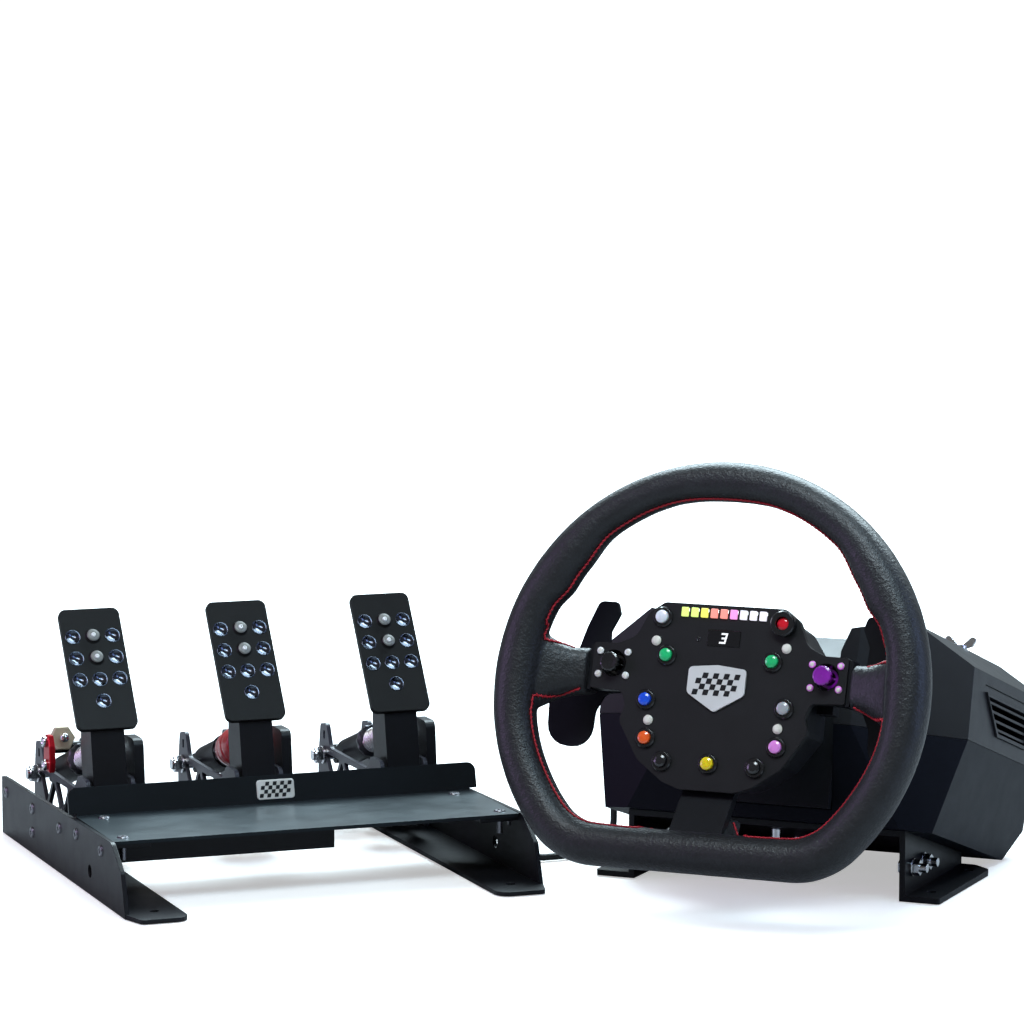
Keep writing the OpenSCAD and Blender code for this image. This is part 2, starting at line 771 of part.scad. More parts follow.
module shaft_bearings() {
    color("silver") wheel_place() {
        bearing(motor_front - 30);
        bearing(motor_back - bearing_l);
    }
}
// Circuit board on the rear wall with its sockets
module port_board() {
    color("#1d3324") wheel_place() translate([0, port_v, 0]) {
        slab(base_rear - 9, base_rear - 5) square([port_w + 6, port_h + 6], center = true);
        slab(base_rear - 5, base_rear - 0.5) square([port_w, port_h], center = true);
        for (i = [0:3]) translate([-30 + i * 20, 0, 0]) difference() {
            slab(base_rear - 1, base_rear + 1.5) square([13, 11], center = true);
            slab(base_rear + 0.5, base_rear + 3) square([10, 8], center = true);
        }
    }
}
// Wing screw that clamps the base from above
module wing_screw() {
    color("#9fb6bd") wheel_place() translate([wing_at[0], 0, -wing_at[1]]) {
        translate([0, wing_v - 14, 0]) rotate([-90, 0, 0]) cylinder(r = wing_r, h = 19);
        translate([0, wing_v + 0.3, 0]) rotate([-90, 0, 0]) cylinder(r = 5, h = 4);
        both_sides() translate([0, 0, -1.25]) linear_extrude(2.5) polygon(rounded([
            [2, wing_v + 2, 0], [9, wing_v + 4.5, 2], [12, wing_v + 10, 2], [8, wing_v + 11, 2], [2, wing_v + 5, 0]
        ]));
    }
}

// ---- bracket ----

// Height of the base's underside above the floor at a distance y behind the bracket's centre
function under_z(y) = wheel_h + (floor_v - (y - wheel_y) * sin(tilt)) / cos(tilt);
module mounting_bracket() {
    y0 = -foot_l / 2;
    y1 = foot_l / 2;
    drop = sheet / cos(tilt) + fit;
    color("#1c1d22") difference() {
        union() {
            // Top plate under the base
            wall(-web_x, web_x) polygon([
                [y0, under_z(y0) - fit], [y1, under_z(y1) - fit], [y1, under_z(y1) - drop], [y0, under_z(y0) - drop]
            ]);
            both_sides() wall(web_x - sheet, web_x) polygon([
                [y0, 0], [y1, 0], [y1, under_z(y1) - fit], [y0, under_z(y0) - fit]
            ]);
            both_sides() linear_extrude(sheet) polygon(rounded([
                [web_x - sheet, y0, 0], [foot_x, y0, 2], [foot_x, y1 - 12, 8], [foot_x - 14, y1, 8],
                [web_x - sheet, y1, 0]
            ]));
        }
        both_sides() for (s = [-1, 1]) translate([hole_x, s * foot_pitch / 2, -1])
            cylinder(r = foot_hole_r, h = sheet + 2);
        both_sides() for (y = web_bolt_ys) pin_x(3.1, web_x - 10, web_x + 5, y, web_bolt_z);
        for (y = [y0 + 22, 5]) translate([0, y, 10]) cylinder(r = 4.1, h = 60);
    }
}
// Hex bolt pointing along +x from the web's inner face
module web_bolt(y) {
    translate([0, y, web_bolt_z]) rotate([0, 90, 0]) {
        translate([0, 0, web_x - sheet - 4.2]) cylinder(r = 5.5, h = 4, $fn = 6);
        translate([0, 0, web_x - sheet - 1]) cylinder(r = 3, h = 16);
        translate([0, 0, web_x + 0.2]) cylinder(r = 6, h = 1.5);
        translate([0, 0, web_x + 1.7]) cylinder(r = 5.5, h = 4.5, $fn = 6);
    }
}
module bracket_bolts() {
    color("silver") {
        both_sides() for (y = web_bolt_ys) web_bolt(y);
        for (y = [-foot_l / 2 + 22, 5]) translate([0, y, 0]) {
            translate([0, 0, 12]) cylinder(r = 4, h = under_z(y) - 12 - 1.6);
            translate([0, 0, 9]) cylinder(r = 7, h = 4);
        }
    }
}

// ---- cable ----

module straight(l) {
    collar(cable_r, $fn = 20);
    translate([0, 0, 0.05]) cylinder(r = cable_r, h = l - 0.1, $fn = 20);
    translate([0, 0, l]) {
        collar(cable_r, $fn = 20);
        children();
    }
}
// Bends towards +x after a roll about the cable's own axis
module bend(r, a, roll) {
    rotate([0, 0, roll]) {
        translate([r, 0, 0]) rotate([90, 0, 0]) rotate([0, 0, 180 - a + 0.1])
            rotate_extrude(angle = a - 0.2) translate([r, 0]) circle(r = cable_r, $fn = 20);
        translate([r - r * cos(a), 0, r * sin(a)]) rotate([0, a, 0]) children();
    }
}
module link_cable() {
    color("#141416") pedal_place() translate([plate_x + 0.2, cable_hole[0], cable_hole[1]]) rotate([0, 90, 0]) {
        cylinder(r = 4.2, h = 5);
        translate([0, 0, 4]) straight(stub_l - 4) bend(drop_r, drop_a, 0) straight(drop_l) bend(drop_r, drop_a, 180)
            straight(floor_l) bend(turn_r, turn_a, -90) straight(run_l) bend(drop_r, 90, 90)
            straight(rise_l) bend(drop_r, 90, 90) straight(1.7)
            translate([-plug_size[0] / 2, -plug_size[1] / 2, 0]) cube(plug_size);
    }
}

// ---- pedal frame ----

// Right plate: upright with a raked, rounded nose, a top tab and a floor flange
module side_plate() {
    difference() {
        union() {
            wall(plate_x - plate_t, plate_x) polygon(rounded([
                [plate_end_y, 0, 0], [plate_end_y, 41, 2], [-5, deck_z + 0.5, 10], [-28, 29, 4], [-38, 0, 0]
            ]));
            linear_extrude(plate_t) polygon(rounded([
                [plate_x - 0.5, -38, 0], [plate_x - 6, -57, 4], [flange_x, -57, 10], [flange_x, plate_end_y, 3],
                [plate_x - 0.5, plate_end_y, 0]
            ]));
            translate([116, 4, deck_z - deck_t - plate_t - fit]) cube([plate_x - 116 - 0.5, 88, plate_t]);
        }
        for (y = [pedal_hole_y, pedal_hole_y + 2 * pedal_hole_x]) translate([pedal_hole_x, y, -1])
            cylinder(r = pedal_hole_r, h = plate_t + 2);
        for (p = deck_screws) translate([p[0], p[1], 10]) cylinder(r = 2.1, h = 60);
        for (p = side_screws) pin_x(2.1, plate_x - 10, plate_x + 5, p[0], p[1]);
        pin_x(4.5, plate_x - 10, plate_x + 5, cable_hole[0], cable_hole[1]);
    }
}
module side_plates() {
    color("#1b1c20") pedal_place() both_sides() side_plate();
}
module foot_deck() {
    wide = plate_x - plate_t - 0.3;
    color("#2b2d33") pedal_place() difference() {
        union() {
            translate([-wide, 0, deck_z - deck_t]) cube([2 * wide, deck_depth, deck_t]);
            translate([0, deck_depth - 0.5, deck_z - deck_t]) rotate([-14, 0, 0]) translate([0, 2.5, 0])
                rotate([90, 0, 0]) linear_extrude(2.5) polygon(rounded([
                    [-wide + 1, 1, 0], [wide - 1, 1, 0], [wide - 1, 4, 0], [plate_x + 1, 4, 0],
                    [plate_x + 1, 22, 6], [-plate_x - 1, 22, 6], [-plate_x - 1, 4, 0], [-wide + 1, 4, 0]
                ]));
        }
        both_sides() for (p = deck_screws) translate([p[0], p[1], 10]) cylinder(r = 2.1, h = 60);
    }
}
module cap_screw(l) {
    difference() {
        translate([0, 0, 0.05]) cylinder(r1 = 4.2, r2 = 3.4, h = 1);
        for (a = [0, 90]) rotate([0, 0, a + 20]) translate([-2.4, -0.5, 0.5]) cube([4.8, 1, 1]);
    }
    translate([0, 0, -l]) cylinder(r = 2, h = l + 0.1);
}
module frame_screws() {
    color("#b8bbc0") pedal_place() both_sides() {
        for (p = deck_screws) translate([p[0], p[1], deck_z]) cap_screw(deck_screw_l);
        for (p = side_screws) translate([plate_x, p[0], p[1]]) rotate([0, 90, 0]) cap_screw(plate_t + 1);
    }
}
// Truss plate that carries a pedal
module lattice_plate() {
    difference() {
        polygon(rounded([
            [138, 15, 6], [176, 14, 4], [281, 9, 2], [281, 40, 3], [276, 66, 4], [262, 68, 4], [254, 51, 6],
            [172, 50, 6], [162, 60, 5], [141, 60, 5], [136, 30, 6]
        ], 4));
        // Triangular windows, pointing up and down in turn
        for (i = [0:3]) translate([168 + i * 21, 0]) polygon(rounded(i % 2 == 0
            ? [[0, 24, 2], [34, 24, 2], [17, 45, 2]]
            : [[0, 46, 2], [34, 46, 2], [17, 25, 2]], 3));
        // Window near the top of the rear ear
        translate([265, 56]) square([4, 6]);
    }
}
module pedal_brackets() {
    rail_x = plate_x - plate_t - run;
    tab_t = 3;
    color("#6d7076") pedal_place() difference() {
        union() {
            for (rail = [[rail_y0, rail_z0], [rail_y1, rail_z1]]) {
                translate([-rail_x, rail[0], rail[1]]) cube([2 * rail_x, rail_l, rail_t]);
                both_sides() translate([rail_x - tab_t, rail[0], plate_t + fit]) cube([tab_t, rail_l, 36]);
            }
            for (x = pedal_xs) translate([x, 0, 0]) both_sides()
                wall(bracket_gap, bracket_gap + bracket_t) lattice_plate();
        }
        for (x = pedal_xs) {
            pin_x(pin_r + 0.05, x - 30, x + 30, pivot_y, pivot_z);
            pin_x(pin_r + 0.05, x - 30, x + 30, barrel_end_y, barrel_end_z);
        }
        // Holes for the side screws
        for (p = side_screws) both_sides() pin_x(2.1, plate_x - 10, plate_x, p[0], p[1]);
    }
}
module pivot_pins() {
    color("silver") pedal_place() for (x = pedal_xs, p = [[pivot_y, pivot_z], [barrel_end_y, barrel_end_z]]) {
        half = bracket_gap + bracket_t;
        pin_x(pin_r, x - half - 9, x + half + 0.4, p[0], p[1]);
        pin_x(6.5, x - half - 1.6, x - half - 0.2, p[0], p[1]);
        translate([x - half - 7, p[0], p[1]]) rotate([0, 90, 0]) cylinder(r = 6, h = 5.4, $fn = 6);
        pin_x(5.5, x + half + 0.2, x + half + 2, p[0], p[1]);
    }
}
// Sensor case bolted to the outside of a bracket, with two round bolt heads
module sensor_housings() {
    x0 = bracket_gap + bracket_t + 0.1;
    // Control box hung under the deck on three posts
    color("#17181b") pedal_place() {
        translate([box_x, 20, box_z]) cube(box_size);
        for (x = box_posts) translate([x, 49, box_z + 1]) cylinder(r = 3, h = deck_z - deck_t - box_z - 1 - fit);
    }
    color("#17181b") pedal_place() for (x = pedal_xs) translate([x, 0, 0]) {
        wall(x0, x0 + case_t) polygon(rounded([[140, 46, 4], [168, 46, 4], [172, 86, 6], [144, 86, 6]]));
        for (z = [60, 76]) pin_x(3, x0 + case_t - 1, x0 + case_t + 1.5, 146 + z / 8, z);
        // Foot of the case on the bracket
        wall(x0, x0 + 3) translate([142, 30]) square([20, 18]);
    }
}

// ---- pedals ----

// Point at a height up the face and a distance behind its front
function face_pt(s, back) = [
    face_y + s * sin(face_lean) + back * cos(face_lean),
    face_z + s * cos(face_lean) - back * sin(face_lean)
];
function with_r(p, r) = [p[0], p[1], r];
module pedal_arm(x) {
    back = face_t + fit;
    top = 80;
    color("#141518") pedal_place() translate([x, 0, 0]) difference() {
        union() {
            both_sides() wall(arm_half - arm_t, arm_half) polygon(rounded([
                [133, 13, 10], [164, 13, 10], [174, 78, 12], with_r(face_pt(30, 15), 12),
                with_r(face_pt(top, 9), 4), with_r(face_pt(top, back), 0), with_r(face_pt(0, back), 0)
            ]));
            // Front web: upright below, behind the face above
            wall(-arm_half, arm_half) polygon([
                [137, 34], [140.2, 34], face_pt(1, back + 3), face_pt(top, back + 3),
                face_pt(top, back), face_pt(0, back)
            ]);
            pin_x(lug_r, -arm_half, arm_half, lug_y, lug_z);
            difference() {
                pin_x(8, -arm_half, arm_half, pivot_y, pivot_z);
                pin_x(9, -arm_half + arm_t + 3, arm_half - arm_t - 3, pivot_y, pivot_z);
            }
        }
        pin_x(pin_r + run, -30, 30, pivot_y, pivot_z);
    }
}
module clutch_arm() { pedal_arm(clutch_x); }
module brake_arm() { pedal_arm(brake_x); }
module throttle_arm() { pedal_arm(throttle_x); }

// Blind hole with a chamfered mouth
module face_hole() {
    translate([0, 0, 0.8]) cylinder(r = face_hole_r, h = face_t);
    translate([0, 0, face_t - 0.6]) cylinder(r1 = face_hole_r, r2 = face_hole_r + 0.7, h = 0.7);
}
module pedal_face(x) {
    color("#202125") pedal_place() translate([x, face_y, face_z]) rotate([-face_lean, 0, 0])
        translate([0, face_t, 0]) rotate([90, 0, 0]) {
            difference() {
                linear_extrude(face_t) polygon(rounded([
                    [-face_w / 2, 0, 5], [face_w / 2, 0, 5], [face_w / 2, face_l, 5], [-face_w / 2, face_l, 5]
                ]));
                for (h = face_rows, i = [-1:1]) translate([i * face_col, h, 0]) face_hole();
                translate([0, face_low_hole, 0]) face_hole();
            }
            // Button-head screws in the two upper middle holes
            for (h = [face_rows[0], face_rows[1]]) translate([0, h, 0]) {
                cylinder(r = face_hole_r - 0.4, h = face_t + 1.4);
                translate([0, 0, face_t]) cylinder(r1 = face_hole_r + 0.9, r2 = face_hole_r - 0.6, h = 1.8);
            }
        }
}
module clutch_face() { pedal_face(clutch_x); }
module brake_face() { pedal_face(brake_x); }
module throttle_face() { pedal_face(throttle_x); }

// Damper frame: z runs from the lug on the arm to the pin at the rear
module damper_place(x) {
    pedal_place() translate([x, lug_y, lug_z]) rotate([-90 - damper_a, 0, 0]) children();
}
module cross_eye(r, w, at) {
    translate([-w / 2, 0, at]) rotate([0, 90, 0]) cylinder(r = r, h = w);
}
module damper_barrel(x, shade, r) {
    front = damper_l - damper_barrel_l - 6;
    color(shade) damper_place(x) difference() {
        union() {
            translate([0, 0, front]) cylinder(r = r, h = damper_barrel_l);
            translate([0, 0, front + 4]) cylinder(r = r + 1.2, h = 5);
            cross_eye(7, 18, damper_l);
        }
        cross_eye(pin_r + run, 30, damper_l);
        translate([0, 0, front - 1]) cylinder(r = damper_rod_r + run, h = damper_barrel_l - 4);
    }
}
module clutch_barrel() { damper_barrel(clutch_x, "#18191c", 10.5); }
module brake_barrel() { damper_barrel(brake_x, "#18191c", 11.5); }
module throttle_barrel() { damper_barrel(throttle_x, "#18191c", 10); }

module damper_rod(x) {
    color("silver") damper_place(x) difference() {
        union() {
            cross_eye(7, 16, 0);
            translate([0, 0, 3]) cylinder(r = damper_rod_r, h = rod_l);
            translate([0, 0, 5]) cylinder(r = 8.5, h = spring_start - 5.2, $fn = 6);
        }
        cross_eye(lug_r + lug_play, 30, 0);
    }
}
module clutch_rod() { damper_rod(clutch_x); }
module brake_rod() { damper_rod(brake_x); }
module throttle_rod() { damper_rod(throttle_x); }

// Stack of round rings round the rod, from the rod's collar to the barrel
module ring_stack(x, shade, r, wire, n) {
    pitch = (spring_l - 2 * wire) / (n - 1);
    color(shade) damper_place(x) translate([0, 0, spring_start + wire]) {
        for (i = [0:n - 1]) translate([0, 0, i * pitch]) rotate_extrude()
            translate([r - wire, 0]) circle(r = wire, $fn = 16);
        // Thin sleeve that joins the rings
        difference() {
            cylinder(r = r - wire + 0.3, h = spring_l - 2 * wire);
            translate([0, 0, -1]) cylinder(r = damper_rod_r + 0.4, h = spring_l + 2);
        }
    }
}
module clutch_spring() { ring_stack(clutch_x, "silver", 9, 1.1, 7); }
module throttle_spring() { ring_stack(throttle_x, "silver", 9, 1.1, 7); }
// Stiff rubber buffer on the brake rod
module brake_spring() {
    color("#a01818") damper_place(brake_x) difference() {
        translate([0, 0, spring_start]) rotate_extrude() polygon(rounded([
            [0, 0, 0], [buffer_r - 1, 0, 5], [buffer_r + 0.5, spring_l / 2, 20], [buffer_r - 1, spring_l, 4],
            [0, spring_l, 0]
        ]));
        cylinder(r = damper_rod_r + 0.4, h = 60);
    }
}

upper_shell();
lower_shell();
shaft_cowl();
vent_grilles();
drive_motor();
shaft_bearings();
port_board();
wing_screw();
mounting_bracket();
bracket_bolts();
link_cable();
side_plates();
foot_deck();
frame_screws();
pedal_brackets();
pivot_pins();
sensor_housings();
rim_frame();
rim_grip();
front_panel();
wheel_box();
button_housings();
panel_screws();
display_window();
shift_leds();
emblem_badge();
steering_shaft();
paddle_pins();
left_paddle();
right_paddle();
white_button();
red_button();
left_green_button();
right_green_button();
blue_button();
grey_button();
orange_button();
pink_button();
left_black_button();
right_black_button();
yellow_button();
left_stick_gimbal();
left_stick();
right_stick_gimbal();
right_stick();
clutch_arm();
brake_arm();
throttle_arm();
clutch_face();
brake_face();
throttle_face();
clutch_barrel();
brake_barrel();
throttle_barrel();
clutch_rod();
brake_rod();
throttle_rod();
clutch_spring();
brake_spring();
throttle_spring();
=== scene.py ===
import json
import math

import bmesh
import bpy
from mathutils import Matrix, Vector, noise
from mathutils.bvhtree import BVHTree
from mathutils.kdtree import KDTree


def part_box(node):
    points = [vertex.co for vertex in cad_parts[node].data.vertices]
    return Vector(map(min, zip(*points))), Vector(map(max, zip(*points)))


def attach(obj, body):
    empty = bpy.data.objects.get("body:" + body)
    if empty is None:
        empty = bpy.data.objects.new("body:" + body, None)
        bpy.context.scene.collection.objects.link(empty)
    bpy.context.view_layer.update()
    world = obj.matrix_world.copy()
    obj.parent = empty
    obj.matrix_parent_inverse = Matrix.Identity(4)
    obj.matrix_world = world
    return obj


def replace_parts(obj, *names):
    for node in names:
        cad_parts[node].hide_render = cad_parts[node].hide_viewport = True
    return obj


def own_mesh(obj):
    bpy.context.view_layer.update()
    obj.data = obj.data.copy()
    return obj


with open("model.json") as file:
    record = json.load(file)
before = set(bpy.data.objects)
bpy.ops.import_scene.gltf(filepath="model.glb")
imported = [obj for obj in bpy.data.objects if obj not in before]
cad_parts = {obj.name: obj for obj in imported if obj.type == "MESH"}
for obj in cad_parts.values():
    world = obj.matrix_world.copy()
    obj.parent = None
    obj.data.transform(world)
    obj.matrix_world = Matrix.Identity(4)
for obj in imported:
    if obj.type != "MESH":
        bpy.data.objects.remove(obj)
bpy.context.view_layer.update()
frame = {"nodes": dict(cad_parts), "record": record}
MM = 0.001

# ---- places, all from the frame ----

JOINTS = {j["name"]: j for j in frame["record"]["behaviour"]["joints"]}


def place(origin, x, y, z):
    """Matrix whose columns are the axes x, y, z and the origin."""
    m = Matrix((x, y, z)).transposed().to_4x4()
    m.translation = origin
    return m


# Wheel frame: x across, y up the wheel's face, z towards the driver, in metres
TO_DRIVER = Vector(JOINTS["steering"]["axis"])
UP_FACE = TO_DRIVER.cross(Vector((1, 0, 0)))
WHEEL = place(Vector(JOINTS["steering"]["pos_m"]), Vector((1, 0, 0)), UP_FACE, TO_DRIVER)

# Pedal frame: x right, y away from the driver, z up; the clutch's pivot has the place PIVOT_IN_UNIT in it
CLUTCH_X = -105
PEDAL_X = -Vector(JOINTS["clutch_press"]["axis"])
PEDAL_Y = Vector((0, 0, 1)).cross(PEDAL_X)
PIVOT_IN_UNIT = Vector((CLUTCH_X, 150, 24)) * MM
PEDALS = place(Vector((0, 0, 0)), PEDAL_X, PEDAL_Y, Vector((0, 0, 1)))
PEDALS.translation = Vector(JOINTS["clutch_press"]["pos_m"]) - PEDALS.to_3x3() @ PIVOT_IN_UNIT
PEDAL_NAMES = ("clutch", "brake", "throttle")
PEDAL_PITCH = (Vector(JOINTS["brake_press"]["pos_m"]) - Vector(JOINTS["clutch_press"]["pos_m"])).length

# ---- materials ----


class Shader:
    """A node material with short helpers for the nodes that the looks need."""

    def __init__(self, name):
        self.mat = bpy.data.materials.new(name)
        self.mat.use_nodes = True
        self.tree = self.mat.node_tree
        self.bsdf = self.tree.nodes["Principled BSDF"]
        self.coords = self.add("ShaderNodeTexCoord").outputs["Object"]

    def add(self, kind, **values):
        """A new node with its settings."""
        node = self.tree.nodes.new(kind)
        for key, value in values.items():
            setattr(node, key, value)
        return node

    def link(self, a, b):
        self.tree.links.new(a, b)

    def feed(self, socket, value):
        """Links the socket to another socket, or sets it to a plain value."""
        if isinstance(value, bpy.types.NodeSocket):
            self.link(value, socket)
        else:
            socket.default_value = value

    def put(self, node, **inputs):
        """Feeds inputs by name, with _ for each space in a name."""
        for key, value in inputs.items():
            self.feed(node.inputs[key.replace("_", " ")], value)
        return node

    def noise(self, scale, detail=3.0, rough=0.55, stretch=None):
        """Cloudy values from 0 to 1."""
        node = self.add("ShaderNodeTexNoise")
        self.put(node, Scale=scale, Detail=detail, Roughness=rough, Vector=self.mapped(stretch))
        return node.outputs["Fac"]

    def mapped(self, stretch):
        """The piece's own coordinates, stretched when a stretch is given."""
        if stretch is None:
            return self.coords
        node = self.add("ShaderNodeMapping")
        self.put(node, Vector=self.coords, Scale=stretch)
        return node.outputs["Vector"]

    def cells(self, scale, smooth):
        """Distance from the middles of rounded cells."""
        node = self.add("ShaderNodeTexVoronoi", feature="SMOOTH_F1")
        self.put(node, Vector=self.coords, Scale=scale, Smoothness=smooth)
        return node.outputs["Distance"]

    def ranged(self, value, low, high, out_low, out_high):
        """Maps low..high to out_low..out_high and clamps the rest."""
        node = self.add("ShaderNodeMapRange")
        self.put(node, Value=value, From_Min=low, From_Max=high, To_Min=out_low, To_Max=out_high)
        return node.outputs["Result"]

    def mix(self, factor, a, b):
        """A colour between a and b."""
        node = self.add("ShaderNodeMix", data_type="RGBA")
        # The colour sockets of the mix node are its inputs 6 and 7 and its output 2
        for socket, value in ((node.inputs[0], factor), (node.inputs[6], a), (node.inputs[7], b)):
            self.feed(socket, value)
        return node.outputs[2]

    def math(self, operation, a, b=0.0):
        """One operation on two values."""
        node = self.add("ShaderNodeMath", operation=operation)
        for socket, value in zip(node.inputs, (a, b)):
            self.feed(socket, value)
        return node.outputs["Value"]

    def bump(self, height, distance, strength, normal=None):
        """A normal that follows the height, on top of the given normal."""
        node = self.add("ShaderNodeBump")
        self.put(node, Height=height, Distance=distance, Strength=strength)
        if normal is not None:
            self.link(normal, node.inputs["Normal"])
        return node.outputs["Normal"]

    def soft_edges(self, radius):
        """Rounds the shading across hard edges; returns the normal and a 0 to 1 mask of the edges."""
        bevel = self.add("ShaderNodeBevel", samples=4)
        bevel.inputs["Radius"].default_value = radius
        flat = self.add("ShaderNodeNewGeometry")
        dot = self.add("ShaderNodeVectorMath", operation="DOT_PRODUCT")
        self.link(bevel.outputs["Normal"], dot.inputs[0])
        self.link(flat.outputs["Normal"], dot.inputs[1])
        mask = self.ranged(dot.outputs["Value"], 0.99, 0.80, 0.0, 1.0)
        return bevel.outputs["Normal"], mask


WHITE = (1, 1, 1, 1)
WORN = 1.35


def shade(colour, factor):
    """The colour made lighter or darker, with an opaque fourth value."""
    return tuple(min(1.0, c * factor) for c in colour[:3]) + (1.0,)


def moulded(name, colour, rough, grain=1400.0, grain_depth=0.00006, edge=0.0006, metallic=0.0,
            mottle=0.10, shine=0.24, tint=(1, 1, 1)):
    """Moulded plastic or powder coat: fine grain, faint mottling and slightly polished edges."""
    s = Shader(name)
    normal, mask = s.soft_edges(edge)
    broad = s.noise(22.0, 3.0)
    base = s.mix(s.ranged(broad, 0.3, 0.7, 0.0, 1.0), shade(colour, 1 - mottle), shade(colour, 1 + mottle))
    scuffs = s.ranged(s.noise(160.0), 0.35, 0.7, 0.1, 0.6)
    worn = s.mix(s.math("MULTIPLY", mask, scuffs), base, shade(colour, WORN))
    s.put(s.bsdf, Base_Color=worn, Metallic=metallic, Specular_IOR_Level=shine)
    s.put(s.bsdf, Specular_Tint=tint + (1.0,))
    rough_map = s.ranged(s.noise(60.0, 4.0), 0.3, 0.7, rough - 0.02, rough + 0.03)
    s.put(s.bsdf, Roughness=s.math("SUBTRACT", rough_map, s.math("MULTIPLY", mask, 0.08)))
    s.put(s.bsdf, Normal=s.bump(s.noise(grain, 2.0), grain_depth, 0.7, normal))
    return s.mat


def deck_paint_with_painted_highlight():
    """Satin powder coat, glossier where it faces up, with blue-tinted reflections: a painted highlight for
    the cool light from behind.
    """
    # The blue specular tint is a painted reflection colour of the cool back light
    mat = moulded("deck", (0.010, 0.011, 0.013), 0.30, 1100.0, 0.00005, mottle=0.04, tint=(0.72, 0.92, 1.0))
    tree = mat.node_tree
    # Painted highlight: the reflection strength rises on faces that point up
    facing = tree.nodes.new("ShaderNodeNewGeometry")
    split = tree.nodes.new("ShaderNodeSeparateXYZ")
    level = tree.nodes.new("ShaderNodeMapRange")
    tree.links.new(facing.outputs["True Normal"], split.inputs[0])
    tree.links.new(split.outputs["Z"], level.inputs["Value"])
    for socket, value in (("From Min", 0.5), ("From Max", 0.95), ("To Min", 0.2), ("To Max", 1.0)):
        level.inputs[socket].default_value = value
    tree.links.new(level.outputs["Result"], tree.nodes["Principled BSDF"].inputs["Specular IOR Level"])
    return mat


def metal(name, colour, rough, brushed=(1, 1, 1)):
    """Bare metal with fine scratches; brushed gives the stretch of the lines."""
    s = Shader(name)
    normal, _ = s.soft_edges(0.0004)
    lines = s.noise(900.0, 3.0, 0.6, brushed)
    tint = s.mix(s.ranged(s.noise(35.0), 0.3, 0.7, 0, 1), shade(colour, 0.88), shade(colour, 1.05))
    rough_map = s.ranged(lines, 0.3, 0.7, rough - 0.05, rough + 0.08)
    s.put(s.bsdf, Base_Color=tint, Metallic=1.0, Roughness=rough_map)
    s.put(s.bsdf, Normal=s.bump(lines, 0.00002, 0.5, normal))
    return s.mat


def leather(name, colour):
    """Grained leather: pebbled cells, creases between them darkened with painted shade, and a soft sheen."""
    s = Shader(name)
    warp = s.noise(90.0, 2.0)
    pebbles = s.cells(760.0, 0.45)
    coarse = s.cells(330.0, 0.6)
    height = s.math("ADD", s.math("MULTIPLY", pebbles, 0.6), s.math("MULTIPLY", coarse, 0.7))
    height = s.math("SUBTRACT", 1.0, height)
    height = s.math("ADD", height, s.math("MULTIPLY", s.noise(2200.0, 2.0), 0.12))
    tone = s.mix(s.ranged(warp, 0.35, 0.65, 0.0, 1.0), shade(colour, 0.8), shade(colour, 1.25))
    # Painted shade: the colour darkens towards the cell edges, in the creases between the pebbles
    painted_crease_shade = s.mix(s.ranged(pebbles, 0.25, 0.75, 0.0, 0.45), tone, shade(colour, 0.45))
    s.put(s.bsdf, Base_Color=painted_crease_shade, Roughness=s.ranged(height, 0.2, 0.9, 0.50, 0.36))
    s.put(s.bsdf, Sheen_Weight=0.04, Sheen_Roughness=0.4, Specular_IOR_Level=0.5)
    s.put(s.bsdf, Normal=s.bump(height, 0.00034, 0.85))
    return s.mat


def rubber(name, colour, rough=0.6):
    """Dull rubber, thread or cable skin with an uneven tone."""
    s = Shader(name)
    normal, _ = s.soft_edges(0.0005)
    tone = s.mix(s.ranged(s.noise(50.0), 0.3, 0.7, 0, 1), shade(colour, 0.85), shade(colour, 1.15))
    s.put(s.bsdf, Base_Color=tone, Roughness=s.ranged(s.noise(200.0), 0.3, 0.7, rough - 0.06, rough + 0.06))
    s.put(s.bsdf, Normal=s.bump(s.noise(1200.0, 2.0), 0.00005, 0.6, normal))
    return s.mat


def lamp(name, colour):
    """A lit lamp lens with a fine raster of bright dots behind it."""
    s = Shader(name)
    split = s.add("ShaderNodeSeparateXYZ")
    s.link(s.coords, split.inputs[0])
    wave_number = 5200.0
    across = s.math("SINE", s.math("MULTIPLY", split.outputs[0], wave_number))
    upward = s.math("SINE", s.math("MULTIPLY", split.outputs[2], wave_number))
    raster = s.ranged(s.math("MULTIPLY", across, upward), -1.0, 1.0, 0.82, 1.1)
    s.put(s.bsdf, Base_Color=shade(colour, 0.3), Roughness=0.2, Emission_Color=colour + (1.0,))
    s.put(s.bsdf, Emission_Strength=raster)
    return s.mat


def gloss(name, colour, rough, through=0.0):
    """Glossy moulded plastic with faint flow marks; through is how much light it lets into itself."""
    s = Shader(name)
    normal, _ = s.soft_edges(0.0005)
    tone = s.mix(s.ranged(s.noise(260.0), 0.3, 0.7, 0, 1), shade(colour, 0.88), shade(colour, 1.1))
    s.put(s.bsdf, Base_Color=tone, Coat_Weight=0.6, Coat_Roughness=0.05, Subsurface_Weight=through)
    s.put(s.bsdf, Subsurface_Scale=0.002, Roughness=s.ranged(s.noise(90.0), 0.3, 0.7, rough, rough + 0.08))
    s.put(s.bsdf, Normal=s.bump(s.noise(300.0), 0.00002, 0.4, normal))
    return s.mat


